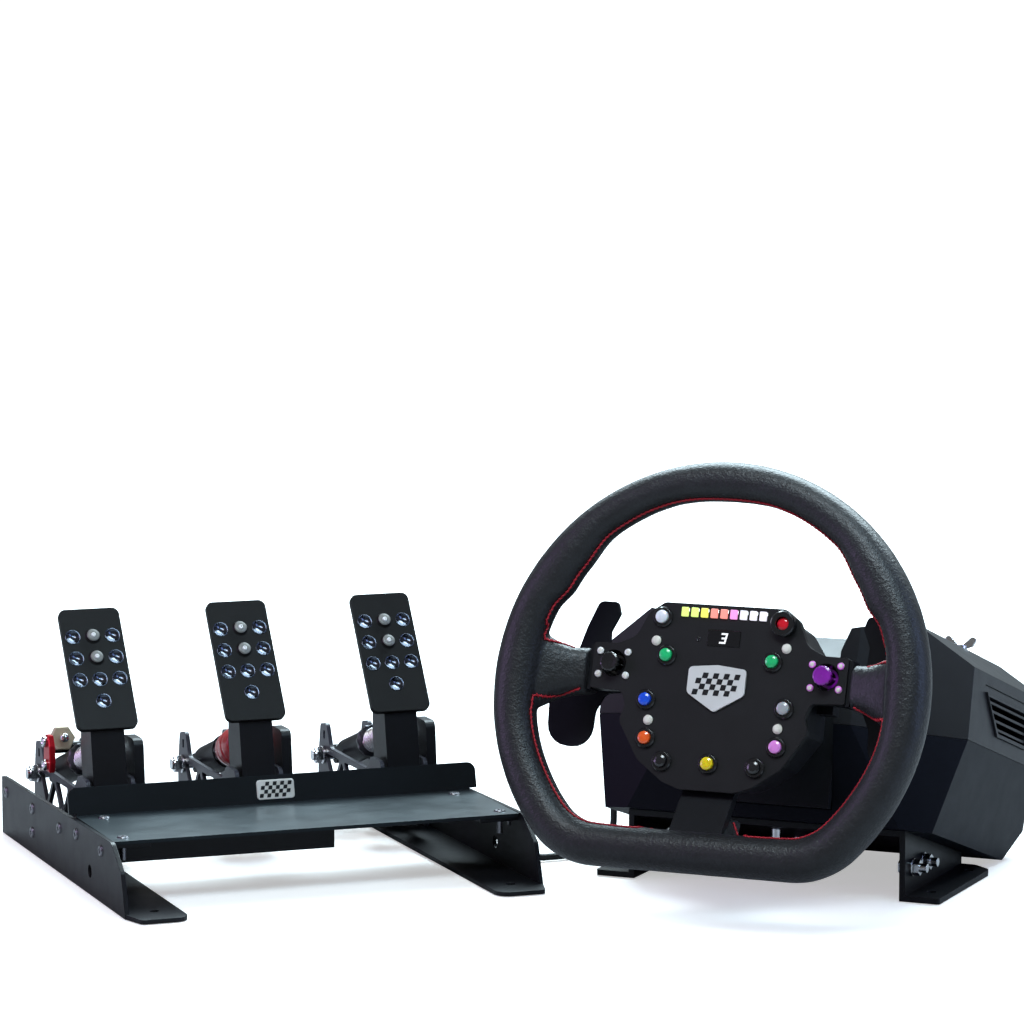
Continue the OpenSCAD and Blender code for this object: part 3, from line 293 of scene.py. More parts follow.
LOOKS = {
    "shell": moulded("shell", (0.024, 0.024, 0.026), 0.42),
    # Darker and bluer than the shell: painted shade and painted blue light on the lower facets
    "shell_low_painted_blue_shade": moulded("shell_low_painted_blue_shade", (0.006, 0.007, 0.012), 0.45, shine=0.12),
    "cowl": moulded("cowl", (0.018, 0.019, 0.022), 0.42),
    "vent": moulded("vent", (0.012, 0.012, 0.016), 0.40),
    "motor": moulded("motor", (0.02, 0.02, 0.022), 0.5, metallic=0.5),
    "chrome": metal("chrome", (0.80, 0.80, 0.82), 0.14),
    "board": moulded("board", (0.006, 0.007, 0.008), 0.4),
    "black_steel": moulded("black_steel", (0.007, 0.007, 0.009), 0.36, 1100.0, 0.00008),
    "deck": deck_paint_with_painted_highlight(),
    "face": moulded("face", (0.009, 0.0085, 0.0085), 0.40, 900.0, 0.00008, shine=0.13),
    "grey_steel": moulded("grey_steel", (0.030, 0.031, 0.045), 0.36, 1000.0, 0.00008, shine=0.5),
    "cable": rubber("cable", (0.014, 0.014, 0.016)),
    "aluminium": metal("aluminium", (0.55, 0.56, 0.58), 0.32, (1, 1, 8)),
    "leather": leather("leather", (0.0105, 0.0108, 0.0125)),
    "panel": moulded("panel", (0.0125, 0.0120, 0.0125), 0.42, 1800.0, 0.00005),
    "box": moulded("box", (0.006, 0.006, 0.008), 0.40),
    "bezel": gloss("bezel", (0.006, 0.006, 0.007), 0.18),
    "pearl": gloss("pearl", (0.80, 0.75, 0.66), 0.15),
    "window": gloss("window", (0.004, 0.004, 0.006), 0.05),
    "badge": moulded("badge", (0.74, 0.73, 0.70), 0.36, edge=0.0004, metallic=0.25),
    "paddle": moulded("paddle", (0.010, 0.010, 0.013), 0.34, 1500.0),
    "red_rubber": gloss("red_rubber", (0.55, 0.012, 0.020), 0.28),
    "spring": metal("spring", (0.97, 0.94, 0.97), 0.30),
    "thread": rubber("thread", (0.42, 0.006, 0.018), 0.55),
    "gold": moulded("gold", (0.80, 0.70, 0.52), 0.25, edge=0.0004, metallic=0.45, shine=0.6),
    "washer": moulded("washer", (0.20, 0.20, 0.19), 0.42, metallic=0.2),
    "rim_metal": metal("rim_metal", (0.10, 0.115, 0.15), 0.16),
    "collar": metal("collar", (0.10, 0.10, 0.11), 0.30),
    "rim_plate": moulded("rim_plate", (0.008, 0.008, 0.010), 0.38, metallic=0.2),
    "screw_dark": metal("screw_dark", (0.22, 0.22, 0.24), 0.30),
    "red_metal": moulded("red_metal", (0.50, 0.01, 0.02), 0.3, metallic=0.5),
    "magenta": gloss("magenta", (0.24, 0.01, 0.33), 0.2),
    # Near-white gloss: the real pale bolts round the left stick, and a painted glint as the heads of the
    # pedal face screws
    "pearl_bolt_and_glint": gloss("pearl_bolt_and_glint", (0.86, 0.85, 0.84), 0.2),
    "magenta_bolt": gloss("magenta_bolt", (0.85, 0.22, 0.80), 0.15),
    "digit": lamp("digit", (0.95, 0.97, 1.0)),
    "lamp_lime": lamp("lamp_lime", (0.78, 1.0, 0.25)),
    "lamp_yellow": lamp("lamp_yellow", (1.0, 0.95, 0.16)),
    "lamp_salmon": lamp("lamp_salmon", (1.0, 0.33, 0.28)),
    "lamp_pink": lamp("lamp_pink", (1.0, 0.36, 0.80)),
    "lamp_white": lamp("lamp_white", (0.90, 0.88, 1.0)),
}
# The word in a button node's name before _button gives its cap's colour
BUTTON_COLOURS = {
    "white": (0.82, 0.83, 0.86), "red": (0.72, 0.006, 0.02), "green": (0.015, 0.52, 0.17),
    "blue": (0.01, 0.09, 0.72), "grey": (0.38, 0.38, 0.40), "orange": (0.90, 0.12, 0.015),
    "pink": (0.80, 0.26, 0.72), "black": (0.010, 0.010, 0.011), "yellow": (0.88, 0.66, 0.01),
}
for word, colour in BUTTON_COLOURS.items():
    LOOKS["cap_" + word] = gloss("cap_" + word, colour, 0.14, 0.0 if word == "black" else 0.15)

NODE_LOOKS = {
    "shell": ("upper_shell",),
    "shell_low_painted_blue_shade": ("lower_shell",),
    "cowl": ("shaft_cowl",),
    "vent": ("vent_grilles",),
    "motor": ("drive_motor",),
    "board": ("port_board",),
    "cable": ("link_cable",),
    "screw_dark": ("frame_screws",),
    "chrome": ("shaft_bearings", "bracket_bolts", "pivot_pins", "paddle_pins", "wing_screw"),
    "collar": ("clutch_rod", "brake_rod", "throttle_rod"),
    "black_steel": ("mounting_bracket", "side_plates", "clutch_arm", "brake_arm", "throttle_arm"),
    "deck": ("foot_deck",),
    "face": ("clutch_face", "brake_face", "throttle_face"),
    "grey_steel": ("pedal_brackets",),
    "aluminium": ("steering_shaft",),
    "panel": ("front_panel",),
    "rim_plate": ("rim_frame",),
    "box": ("wheel_box", "sensor_housings", "clutch_barrel", "brake_barrel", "throttle_barrel"),
    "bezel": ("button_housings", "left_stick", "left_stick_gimbal"),
    "magenta": ("right_stick", "right_stick_gimbal"),
    "pearl": ("panel_screws",),
    "window": ("display_window",),
    "badge": ("emblem_badge",),
    "paddle": ("left_paddle", "right_paddle"),
    "red_rubber": ("brake_spring",),
}


def paint_nodes():
    """Gives the CAD nodes their looks; the buttons take theirs from their names."""
    for look, nodes in NODE_LOOKS.items():
        for node in nodes:
            paint(frame["nodes"][node], LOOKS[look])
    for name, node in frame["nodes"].items():
        if name.endswith("_button"):
            paint(node, LOOKS["cap_" + name.split("_")[-2]])


def paint(piece, material):
    """Gives the piece this one material."""
    piece.data.materials.clear()
    piece.data.materials.append(material)


# ---- mesh helpers ----


def new_piece(name, verts, faces, material, body, slot, matrix=None, smooth=True):
    """Makes a piece from a mesh, painted, moved by the matrix, and riding on the body."""
    mesh = bpy.data.meshes.new(name)
    mesh.from_pydata([tuple(v) for v in verts], [], faces)
    mesh.validate()
    bm = bmesh.new()
    bm.from_mesh(mesh)
    bmesh.ops.recalc_face_normals(bm, faces=bm.faces)
    bm.to_mesh(mesh)
    bm.free()
    if matrix is not None:
        mesh.transform(matrix)
    piece = bpy.data.objects.new(name, mesh)
    bpy.context.collection.objects.link(piece)
    paint(piece, material)
    if smooth:
        mesh.shade_smooth()
    if body is not None:
        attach(piece, body)
    return piece


def loft(rings, closed_path=False):
    """Vertices and faces of a skin through rings of equal point counts."""
    count = len(rings[0])
    verts = [p for ring in rings for p in ring]
    faces = []
    last = len(rings) if closed_path else len(rings) - 1
    for i in range(last):
        a, b = i * count, ((i + 1) % len(rings)) * count
        for j in range(count):
            k = (j + 1) % count
            faces.append((a + j, a + k, b + k, b + j))
    if not closed_path:
        faces.append(tuple(range(count - 1, -1, -1)))
        faces.append(tuple(range((len(rings) - 1) * count, len(rings) * count)))
    return verts, faces


def tube(points, radius, sides):
    """Rings of a round tube along points, with a frame carried along without twist."""
    rings = []
    normal = None
    for i, p in enumerate(points):
        ahead = points[min(i + 1, len(points) - 1)]
        behind = points[max(i - 1, 0)]
        along = (ahead - behind).normalized()
        if normal is None:
            normal = along.orthogonal().normalized()
        normal = (normal - along * normal.dot(along)).normalized()
        side = along.cross(normal)
        rings.append([p + (normal * math.cos(a) + side * math.sin(a)) * radius
                      for a in (2 * math.pi * k / sides for k in range(sides))])
    return rings


def merge(parts):
    """Joins (verts, faces) parts into one."""
    verts, faces = [], []
    for part_verts, part_faces in parts:
        start = len(verts)
        verts.extend(part_verts)
        faces.extend([tuple(start + i for i in f) for f in part_faces])
    return verts, faces


def placed(part, matrix):
    """The (verts, faces) part moved by the matrix."""
    return [matrix @ Vector(v) for v in part[0]], part[1]


def turned(profile, sides=28, wave=0.0):
    """Skin of a round part about z through (radius, height) pairs; a wave makes its rim fluted."""
    rings = []
    for radius, height in profile:
        ring = []
        for k in range(sides):
            a = 2 * math.pi * k / sides
            r = radius - (wave if k % 4 > 1 else 0.0)
            ring.append(Vector((r * math.cos(a), r * math.sin(a), height)))
        rings.append(ring)
    return loft(rings)


def rounded_rect(width, height, radius, level, slant):
    """Points round a rectangle with rounded corners, at a level; slant leans it to the right."""
    ring = []
    for quarter in range(4):
        cx = (width / 2 - radius) * (1 if quarter in (0, 3) else -1)
        cy = (height / 2 - radius) * (1 if quarter < 2 else -1)
        for k in range(6):
            a = math.pi / 2 * (quarter + k / 5)
            x, y = cx + radius * math.cos(a), cy + radius * math.sin(a)
            ring.append(Vector((x + slant * y, y, level)))
    return ring


def chip(width, height, radius, low, high, chamfer, slant=0.0):
    """A small plate with rounded corners and chamfered edges."""
    inner = (width - 2 * chamfer, height - 2 * chamfer, max(radius - chamfer, 0.00005))
    outer = (width, height, radius)
    levels = [(inner, low), (outer, low + chamfer), (outer, high - chamfer), (inner, high)]
    return loft([rounded_rect(*size, level, slant) for size, level in levels])


def scaled(*pairs):
    """Pairs of millimetres in metres."""
    return [(a * MM, b * MM) for a, b in pairs]


def small_plate(width, height, radius, low, high, chamfer, slant=0.0):
    """A chip given in millimetres."""
    return chip(width * MM, height * MM, radius * MM, low * MM, high * MM, chamfer * MM, slant)


def at(x, y, z):
    """A shift given in millimetres."""
    return Matrix.Translation((x * MM, y * MM, z * MM))


def smooth_step(t):
    """Eases from 0 to 1 and stays there."""
    t = min(1.0, max(0.0, t))
    return t * t * (3 - 2 * t)


def blend_table(table, x):
    """Smooth value at x between the (x, value) pairs of a table."""
    if x <= table[0][0]:
        return table[0][1]
    for (x0, v0), (x1, v1) in zip(table, table[1:]):
        if x <= x1:
            return v0 + (v1 - v0) * smooth_step((x - x0) / (x1 - x0))
    return table[-1][1]


# ---- the leather grip ----

# Outline: a round top, a flat bottom FLAT_V below the middle, and a bend of CORNER_R at each end of the flat
RIM_R = (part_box("rim_grip")[1].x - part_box("rim_grip")[0].x) / 2
FLAT_V = 0.120
CORNER_R = 0.056
CORNER_V = -(FLAT_V - CORNER_R)
CORNER_U = math.sqrt((RIM_R - CORNER_R) ** 2 - CORNER_V ** 2)
# Angle below the level where the round top meets the bend
JOIN = math.asin(-CORNER_V / (RIM_R - CORNER_R))
GRIP_SIDES = 40
GRIP_SQUARE = 0.92
SLEEVE_SIDES = 32
SLEEVE_SQUARE = 0.6

# Radial thickness of the grip against the angle above the level, the same on both sides
THICKNESS = [(-90, 0.0275), (-70, 0.0275), (-50, 0.0290), (-35, 0.0285), (-14, 0.0275), (4, 0.0295),
             (16, 0.0275), (22, 0.0275), (30, 0.0312), (38, 0.0300), (52, 0.0250), (72, 0.0245), (90, 0.0260)]
# Half the grip's thickness across the wheel's plane against the same angle
DEPTH = [(-90, 0.0150), (-40, 0.0155), (10, 0.0155), (36, 0.0160), (60, 0.0140), (90, 0.0138)]


def rim_outline(step):
    """Points and outward normals along the rim's outer edge, anticlockwise from the right join."""
    found = []

    def arc(cu, cv, r, a0, a1):
        """Adds points from angle a0 to a1 round a centre, without the last one."""
        count = max(2, int(abs(a1 - a0) * r / step))
        for i in range(count):
            a = a0 + (a1 - a0) * i / count
            n = Vector((math.cos(a), math.sin(a), 0))
            found.append((Vector((cu, cv, 0)) + n * r, n))

    arc(0, 0, RIM_R, -JOIN, math.pi + JOIN)
    arc(-CORNER_U, CORNER_V, CORNER_R, math.pi + JOIN, math.pi * 1.5)
    count = int(2 * CORNER_U / step)
    for i in range(count):
        found.append((Vector((-CORNER_U + 2 * CORNER_U * i / count, -FLAT_V, 0)), Vector((0, -1, 0))))
    arc(CORNER_U, CORNER_V, CORNER_R, -math.pi / 2, -JOIN)
    return found


def squared(value, power):
    """The value pushed outwards, so that a circle of such values is slightly square."""
    return math.copysign(abs(value) ** power, value)


def grip_ring(edge, out):
    """Section of the grip: a full, slightly squared oval, thicker where the hands hold it."""
    angle = math.degrees(math.atan2(edge.y, abs(edge.x)))
    thick = blend_table(THICKNESS, angle)
    deep = blend_table(DEPTH, angle)
    centre = edge - out * thick / 2
    ring = []
    for k in range(GRIP_SIDES):
        a = 2 * math.pi * k / GRIP_SIDES
        outward = out * (thick / 2) * squared(math.cos(a), GRIP_SQUARE)
        forward = Vector((0, 0, 1)) * deep * squared(math.sin(a), GRIP_SQUARE)
        ring.append(centre + outward + forward)
    return ring


def sleeve_section(half, front, back):
    """(across, z) pairs round a squared oval, half its width and between two depths behind the mid-plane."""
    deep = (back - front) / 2
    middle = (back + front) / 2
    angles = [2 * math.pi * k / SLEEVE_SIDES for k in range(SLEEVE_SIDES)]
    return [(half * squared(math.cos(a), SLEEVE_SQUARE), -middle + deep * squared(math.sin(a), SLEEVE_SQUARE))
            for a in angles]


def sleeve_rings(side):
    """Rings of a side sleeve from inside the grip to the spoke's end."""
    # Distance across, half height, centre height, front and back depth
    stations = [(0.134, 0.026, 0.006, -0.006, 0.010), (0.122, 0.025, 0.006, -0.004, 0.016),
                (0.112, 0.0185, 0.0075, 0.001, 0.026), (0.103, 0.0155, 0.0085, 0.005, 0.034),
                (0.096, 0.0150, 0.0095, 0.008, 0.038), (0.0925, 0.0150, 0.0100, 0.009, 0.039),
                (0.0915, 0.0138, 0.0100, 0.0105, 0.0375)]
    return [[Vector((side * across, centre + v, z)) for v, z in sleeve_section(half, front, back)]
            for across, half, centre, front, back in stations]


def bottom_sleeve_rings():
    """Rings of the bottom sleeve from inside the grip up to the spoke's end."""
    # Height, half width, front and back depth
    stations = [(-0.108, 0.034, -0.006, 0.008), (-0.098, 0.030, -0.004, 0.016),
                (-0.091, 0.0235, 0.006, 0.028), (-0.086, 0.0212, 0.011, 0.035),
                (-0.0815, 0.0205, 0.015, 0.038), (-0.0805, 0.0195, 0.016, 0.037)]
    return [[Vector((u, height, z)) for u, z in sleeve_section(half, front, back)]
            for height, half, front, back in stations]


def apply_all(piece):
    """Turns the piece's modifiers into its mesh."""
    bpy.context.view_layer.update()
    graph = bpy.context.evaluated_depsgraph_get()
    mesh = bpy.data.meshes.new_from_object(piece.evaluated_get(graph))
    piece.modifiers.clear()
    piece.data = mesh


# The three openings between the spokes: a point inside each, and the first and last angle of its seam
SEAMS = (((0, 0.075), -27, 207), ((-0.066, -0.045), 125, 321), ((0.066, -0.045), 55, -141))
SEAM_RAYS = 260
# Levels from which the leather's inner side is looked for, and the largest step between neighbours there
SEAM_LEVELS = (-0.022, -0.012)
SEAM_JUMP = 0.02
STITCH_PITCH = 0.0032
THREAD_R = 0.0006
STITCH_R = 0.00036
# Four points of a seam's path make one stitch
POINT_GAP = STITCH_PITCH / 4
SEAM_REACH = 0.008
NOTCH = (0.104, 0.022, -0.012)
NOTCH_R = 0.022


def seam_depth(p):
    """Height of the seam above the wheel's mid-plane: it dips where it runs onto a sleeve."""
    side = smooth_step((0.124 - abs(p.x)) / 0.018) if -0.02 < p.y < 0.035 else 0.0
    low = smooth_step((0.106 + p.y) / 0.014) if abs(p.x) < 0.034 and p.y < 0 else 0.0
    return 0.0055 - 0.0175 * side - 0.0245 * low


def seam_path(tree, centre, start, end):
    """Even points and normals where the opening round the centre meets the leather."""
    rough = []
    for i in range(SEAM_RAYS + 1):
        a = math.radians(start + (end - start) * i / SEAM_RAYS)
        ray = Vector((math.cos(a), math.sin(a), 0))
        first = [tree.ray_cast(Vector((centre[0], centre[1], level)), ray) for level in SEAM_LEVELS]
        # A hit is (place, normal, index, distance), with None as its place when the ray meets nothing
        hit = min((h for h in first if h[0] is not None), key=lambda h: h[3])
        for _ in range(3):
            again = tree.ray_cast(Vector((centre[0], centre[1], seam_depth(hit[0]))), ray)
            hit = again if again[0] is not None and again[3] < 0.4 else hit
        if not rough or (hit[0] - rough[-1]).length < SEAM_JUMP:
            rough.append(hit[0])
    even = [rough[0]]
    for p in rough[1:]:
        while (p - even[-1]).length >= POINT_GAP:
            even.append(even[-1] + (p - even[-1]).normalized() * POINT_GAP)
    for _ in range(4):
        inner = [(a + b * 2 + c) / 4 for a, b, c in zip(even, even[1:], even[2:])]
        even = [even[0]] + inner + [even[-1]]
    found = [tree.find_nearest(p) for p in even]
    return [(hit[0], hit[1].normalized()) for hit in found]


def thread_parts(path):
    """A thread in the seam's groove and the slanted stitches across it."""
    parts = [loft(tube([p + n * 0.0001 for p, n in path], THREAD_R, 8))]
    for i in range(3, len(path) - 3, 4):
        p, n = path[i]
        along = (path[i + 1][0] - path[i - 1][0]).normalized()
        across = along.cross(n)
        points = [p + across * 0.0006 * k + along * 0.0005 * k + n * (0.0006 - 0.00014 * k * k)
                  for k in (-2, -1, 0, 1, 2)]
        parts.append(loft(tube(points, STITCH_R, 6)))
    return parts


def shape_leather(mesh, paths):
    """Presses the seams in, puckers the leather between stitches and wrinkles it at the thumb notches."""
    tree = KDTree(sum(len(path) for path in paths))
    run = 0
    for path in paths:
        for p, _ in path:
            tree.insert(p, run)
            run += 1
    tree.balance()
    normals = [v.normal.copy() for v in mesh.vertices]
    for vertex, normal in zip(mesh.vertices, normals):
        p = vertex.co.copy()
        _, index, gap = tree.find(p)
        push = 0.0
        if gap < SEAM_REACH:
            push -= 0.00055 * math.exp(-(gap / 0.0012) ** 2)
            push += 0.00022 * math.cos(index * math.pi / 2) * math.exp(-((gap - 0.0025) / 0.0022) ** 2)
        notch = Vector((abs(p.x) - NOTCH[0], p.y - NOTCH[1], (p.z - NOTCH[2]) * 0.8)).length
        if notch < NOTCH_R:
            fold = noise.noise(Vector((p.x * 420, p.y * 120, p.z * 150)))
            push += 0.00055 * (abs(fold) - 0.2) * smooth_step(1 - notch / NOTCH_R)
        push += 0.00012 * noise.noise(p * 90)
        vertex.co = p + normal * push


def make_grip():
    """One leather skin: rim and sleeves joined, melted together, smoothed, seamed and stitched."""
    parts = [loft([grip_ring(e, n) for e, n in rim_outline(0.004)], closed_path=True)]
    parts += [loft(sleeve_rings(side)) for side in (-1, 1)]
    parts.append(loft(bottom_sleeve_rings()))
    verts, faces = merge(parts)
    grip = new_piece("grip_leather", verts, faces, LOOKS["leather"], None, None)
    remesh = grip.modifiers.new("skin", "REMESH")
    remesh.mode = "VOXEL"
    remesh.voxel_size = 0.0012
    soften = grip.modifiers.new("soften", "SMOOTH")
    soften.factor = 0.5
    soften.iterations = 10
    apply_all(grip)
    mesh = grip.data
    tree = BVHTree.FromPolygons([v.co for v in mesh.vertices], [tuple(f.vertices) for f in mesh.polygons])
    paths = [seam_path(tree, *seam) for seam in SEAMS]
    shape_leather(mesh, paths)
    mesh.transform(WHEEL)
    paint(grip, LOOKS["leather"])
    mesh.shade_smooth()
    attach(grip, "steering_wheel")
    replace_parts(grip, "rim_grip")
    verts, faces = merge([part for path in paths for part in thread_parts(path)])
    new_piece("seam_thread", verts, faces, LOOKS["thread"], "steering_wheel", "red_rubber", WHEEL)


# ---- the wheel's front ----

# Millimetres in the wheel frame: _U across, _V up, _Z towards the driver
LAMP_COLOURS = ("lime", "lime", "yellow", "salmon", "salmon", "pink", "white", "white", "white")
LAMP_PITCH = 6.8
LAMP_V = 51.8
LAMP_FRONT = -10.9
DIGIT_U, DIGIT_V = 1.3, 35.8
DIGIT_Z = (-12.3, -11.95)
SENSOR_U, SENSOR_V = -16.2, 34.4
STICK_U = 74
STICK_V = 15
# Half the distances between the four bolts of a stick
BOLT_U = 9.7
BOLT_V = 7.6
PANEL_Z = -12.6
BADGE_V, BADGE_Z = 5.2, -11.0
CHEQUER_COLUMNS, CHEQUER_ROWS = 8, 4
CHEQUER_LEAN = 0.22
SOCKET_V, SOCKET_Z = 20, -326.5
SOCKETS = (-30, -10, 10, 30)
# Foot of the deck's lip in the pedal frame, and its lean in degrees
LIP_Y, LIP_Z, LIP_LEAN = 94.5, 42, 14
LIP_BADGE_UP = 12


def on_wheel(name, parts, look, slot, smooth=False):
    """A piece made of parts in the wheel frame that turns with the wheel."""
    verts, faces = merge(parts)
    return new_piece(name, verts, faces, LOOKS[look], "steering_wheel", slot, WHEEL, smooth)


def make_lamps():
    """One piece for each colour of the shift-light bar."""
    for colour in sorted(set(LAMP_COLOURS)):
        lens = small_plate(4.7, 6.1, 0.5, LAMP_FRONT - 2, LAMP_FRONT, 0.3)
        parts = [placed(lens, at((i - len(LAMP_COLOURS) // 2) * LAMP_PITCH, LAMP_V, 0))
                 for i, word in enumerate(LAMP_COLOURS) if word == colour]
        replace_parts(on_wheel("shift_lamps_" + colour, parts, "lamp_" + colour, "lamp_lens"), "shift_leds")


def make_digit():
    """A slanted figure three, lit behind the window, and the round sensor to its left."""
    half, top, stroke, slant = 2.2, 3.5, 1.15, 0.2
    mid = stroke / 2
    outline = [(-half, top), (half, top), (half, -top), (-half, -top), (-half, -top + stroke),
               (half - stroke, -top + stroke), (half - stroke, -mid), (-half * 0.6, -mid), (-half * 0.6, mid),
               (half - stroke, mid), (half - stroke, top - stroke), (-half, top - stroke)]
    rings = [[Vector((DIGIT_U + x + slant * y, DIGIT_V + y, z)) * MM for x, y in reversed(outline)]
             for z in DIGIT_Z]
    on_wheel("gear_digit", [loft(rings)], "digit", "lamp_lens")
    ring = turned(scaled((1.5, -0.6), (1.6, 0.25), (1.2, 0.4), (0.8, 0.1), (0.7, -0.4)))
    on_wheel("panel_sensor", [placed(ring, at(SENSOR_U, SENSOR_V, PANEL_Z))], "window", "window_black", True)


def chequers(size, level):
    """Alternate dark tiles of a slanted chequered flag, centred on the origin."""
    tile = small_plate(size, size, 0.25, -0.3, 0.25, 0.12, CHEQUER_LEAN)
    parts = []
    for i in range(CHEQUER_COLUMNS):
        for j in range(CHEQUER_ROWS):
            if (i + j) % 2 == 0:
                y = (j - (CHEQUER_ROWS - 1) / 2) * size
                x = (i - (CHEQUER_COLUMNS - 1) / 2) * size + CHEQUER_LEAN * y
                parts.append(placed(placed(tile, at(x, y, 0)), level))
    return parts


def make_badges():
    """Chequered tiles on the wheel's badge, and a small chequered plate on the foot deck's lip."""
    on_wheel("badge_chequers", chequers(3.7, at(0, BADGE_V, BADGE_Z)), "panel", "panel_plastic")
    lip = PEDALS @ at(0, LIP_Y, LIP_Z) @ Matrix.Rotation(math.radians(-LIP_LEAN), 4, "X")
    lip = lip @ at(0, 0, LIP_BADGE_UP) @ Matrix.Rotation(math.pi / 2, 4, "X")
    plate = small_plate(27, 13.5, 2.2, -0.4, 0.9, 0.3)
    new_piece("deck_badge", *plate, LOOKS["badge"], "base", "badge_silver", lip, False)
    verts, faces = merge(chequers(2.7, at(0, 0, 0.95)))
    new_piece("deck_badge_chequers", verts, faces, LOOKS["panel"], "base", "panel_plastic", lip, False)


def make_sockets():
    """Metal shells and dark tongues of the base's rear sockets."""
    rear = WHEEL @ at(0, SOCKET_V, SOCKET_Z) @ Matrix.Rotation(math.pi, 4, "Y")
    lying = small_plate(13.4, 1.2, 0.3, -2.4, 0.7, 0.2)
    standing = small_plate(1.2, 11.4, 0.3, -2.4, 0.7, 0.2)
    tongue = small_plate(8.4, 2.6, 0.3, -3, -0.2, 0.2)
    shells, tongues = [], []
    for x in SOCKETS:
        shells += [placed(lying, at(x, side * 5.1, 0)) for side in (-1, 1)]
        shells += [placed(standing, at(x + side * 6.1, 0, 0)) for side in (-1, 1)]
        tongues.append(placed(tongue, at(x, 1.2, 0)))
    new_piece("socket_shells", *merge(shells), LOOKS["chrome"], "base", "bright_steel", rear, False)
    new_piece("socket_tongues", *merge(tongues), LOOKS["bezel"], "base", "panel_plastic", rear, False)


def make_stick_bolts():
    """Four pale bolts round the left stick and four magenta ones round the right stick."""
    head = turned(scaled((2.3, -0.6), (2.35, 0.9), (1.9, 1.35), (0.9, 1.4), (0.8, 0.7)), 24)
    for side, name, look in ((-1, "left", "pearl_bolt_and_glint"), (1, "right", "magenta_bolt")):
        parts = [placed(head, at(side * STICK_U + i * BOLT_U, STICK_V + j * BOLT_V, PANEL_Z))
                 for i in (-1, 1) for j in (-1, 1)]
        on_wheel(name + "_stick_bolts", parts, look, "pearl_screw", True)


# ---- the pedals ----

# The damper's two pins in the pedal frame, at the middle of a pedal
LUG = Vector((0, 166, 76)) * MM
REAR_PIN = Vector((0, 268, 44)) * MM
# Millimetres along the damper from its lug
SPRING_START = 10
SPRING_L = 32.5
COIL_R, COIL_WIRE, COIL_TURNS = 7.9, 1.15, 7.5
COIL_STEPS = 30
BUFFER_STEPS = 24
# Foot of a face's front in the pedal frame, its lean in degrees, and the back's distance behind the front
FACE_Y, FACE_Z, FACE_LEAN, FACE_BACK = 144.6, 94.7, 33.4, 4
SCREW_ROWS = (70.5, 54)
HOLE_ROWS = (70.5, 54, 37.5)
HOLE_X = 14.2
HOLE_LEVEL = 4
SCREW_LEVEL = 5.7


def pedal_x(name):
    """The pedal's distance to the right in the pedal frame."""
    return (CLUTCH_X + PEDAL_NAMES.index(name) * PEDAL_PITCH / MM) * MM


def damper_matrix(name):
    """Frame on the pedal's damper: origin at its lug, z along its axis."""
    along = (REAR_PIN - LUG).normalized()
    side = Vector((1, 0, 0))
    return PEDALS @ place(LUG + Vector((pedal_x(name), 0, 0)), side, along.cross(side), along)


def coil(radius, wire, turns, length):
    """Points of a spring: one closed turn at each end and an even pitch between them."""
    points = []
    closed = 2.05 * wire
    pitch = (length - 2 * wire - 2 * closed) / (turns - 2)
    for i in range(int(turns * COIL_STEPS) + 1):
        turn = i / COIL_STEPS
        a = 2 * math.pi * turn
        height = wire + closed * (min(turn, 1) + max(0.0, turn - turns + 1))
        height += pitch * min(max(turn - 1, 0.0), turns - 2)
        points.append(Vector((radius * math.cos(a), radius * math.sin(a), height)))
    return points


def buffer_skin():
    """A rubber buffer with a full waist and two pressed rings at its thirds."""
    profile = [(6.0, 0.1), (11.5, 0.2)]
    for i in range(BUFFER_STEPS + 1):
        t = i / BUFFER_STEPS
        radius = 12.4 + 1.6 * math.sin(math.pi * t)
        for ring in (1 / 3, 2 / 3):
            radius -= 0.7 * math.exp(-((t - ring) / 0.025) ** 2)
        profile.append((radius, 1 + (SPRING_L - 2) * t))
    profile += [(11.5, SPRING_L - 0.2), (6.0, SPRING_L - 0.1)]
    return turned([(r * MM, (SPRING_START + z) * MM) for r, z in profile], 48)


def coil_skin():
    """A wire spring between the damper's lug and its collar."""
    lift = Vector((0, 0, SPRING_START * MM))
    points = [p + lift for p in coil(COIL_R * MM, COIL_WIRE * MM, COIL_TURNS, SPRING_L * MM)]
    return loft(tube(points, COIL_WIRE * MM, 10))


def make_springs():
    """Springs on the damper bodies, each against a fluted collar."""
    profile = scaled((8.5, 0.3), (11.6, 0.4), (12.2, 1.0), (12.2, 4.0), (11.6, 4.6), (8.5, 4.7))
    collar = placed(turned(profile, 48, 0.6 * MM), at(0, 0, SPRING_START + SPRING_L))
    for name in PEDAL_NAMES:
        damper = damper_matrix(name)
        if name == "brake":
            look = LOOKS["red_rubber"]
            piece = new_piece("brake_buffer", *buffer_skin(), look, "brake_damper", "red_rubber", damper)
        else:
            look = LOOKS["spring"]
            body = name + "_damper"
            piece = new_piece(name + "_coil", *coil_skin(), look, body, "bright_steel", damper)
        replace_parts(piece, name + "_spring")
        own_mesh(piece)
        look = LOOKS["collar"]
        new_piece(name + "_collar", *collar, look, name + "_damper", "bright_steel", damper, False)


def face_matrix(name):
    """Frame on a pedal face: x right, y up the face, z out of it, from the foot of its back."""
    face = PEDALS @ Matrix.Translation((pedal_x(name), FACE_Y * MM, FACE_Z * MM))
    face = face @ Matrix.Rotation(math.radians(-FACE_LEAN), 4, "X") @ at(0, FACE_BACK, 0)
    return face @ Matrix.Rotation(math.pi / 2, 4, "X")


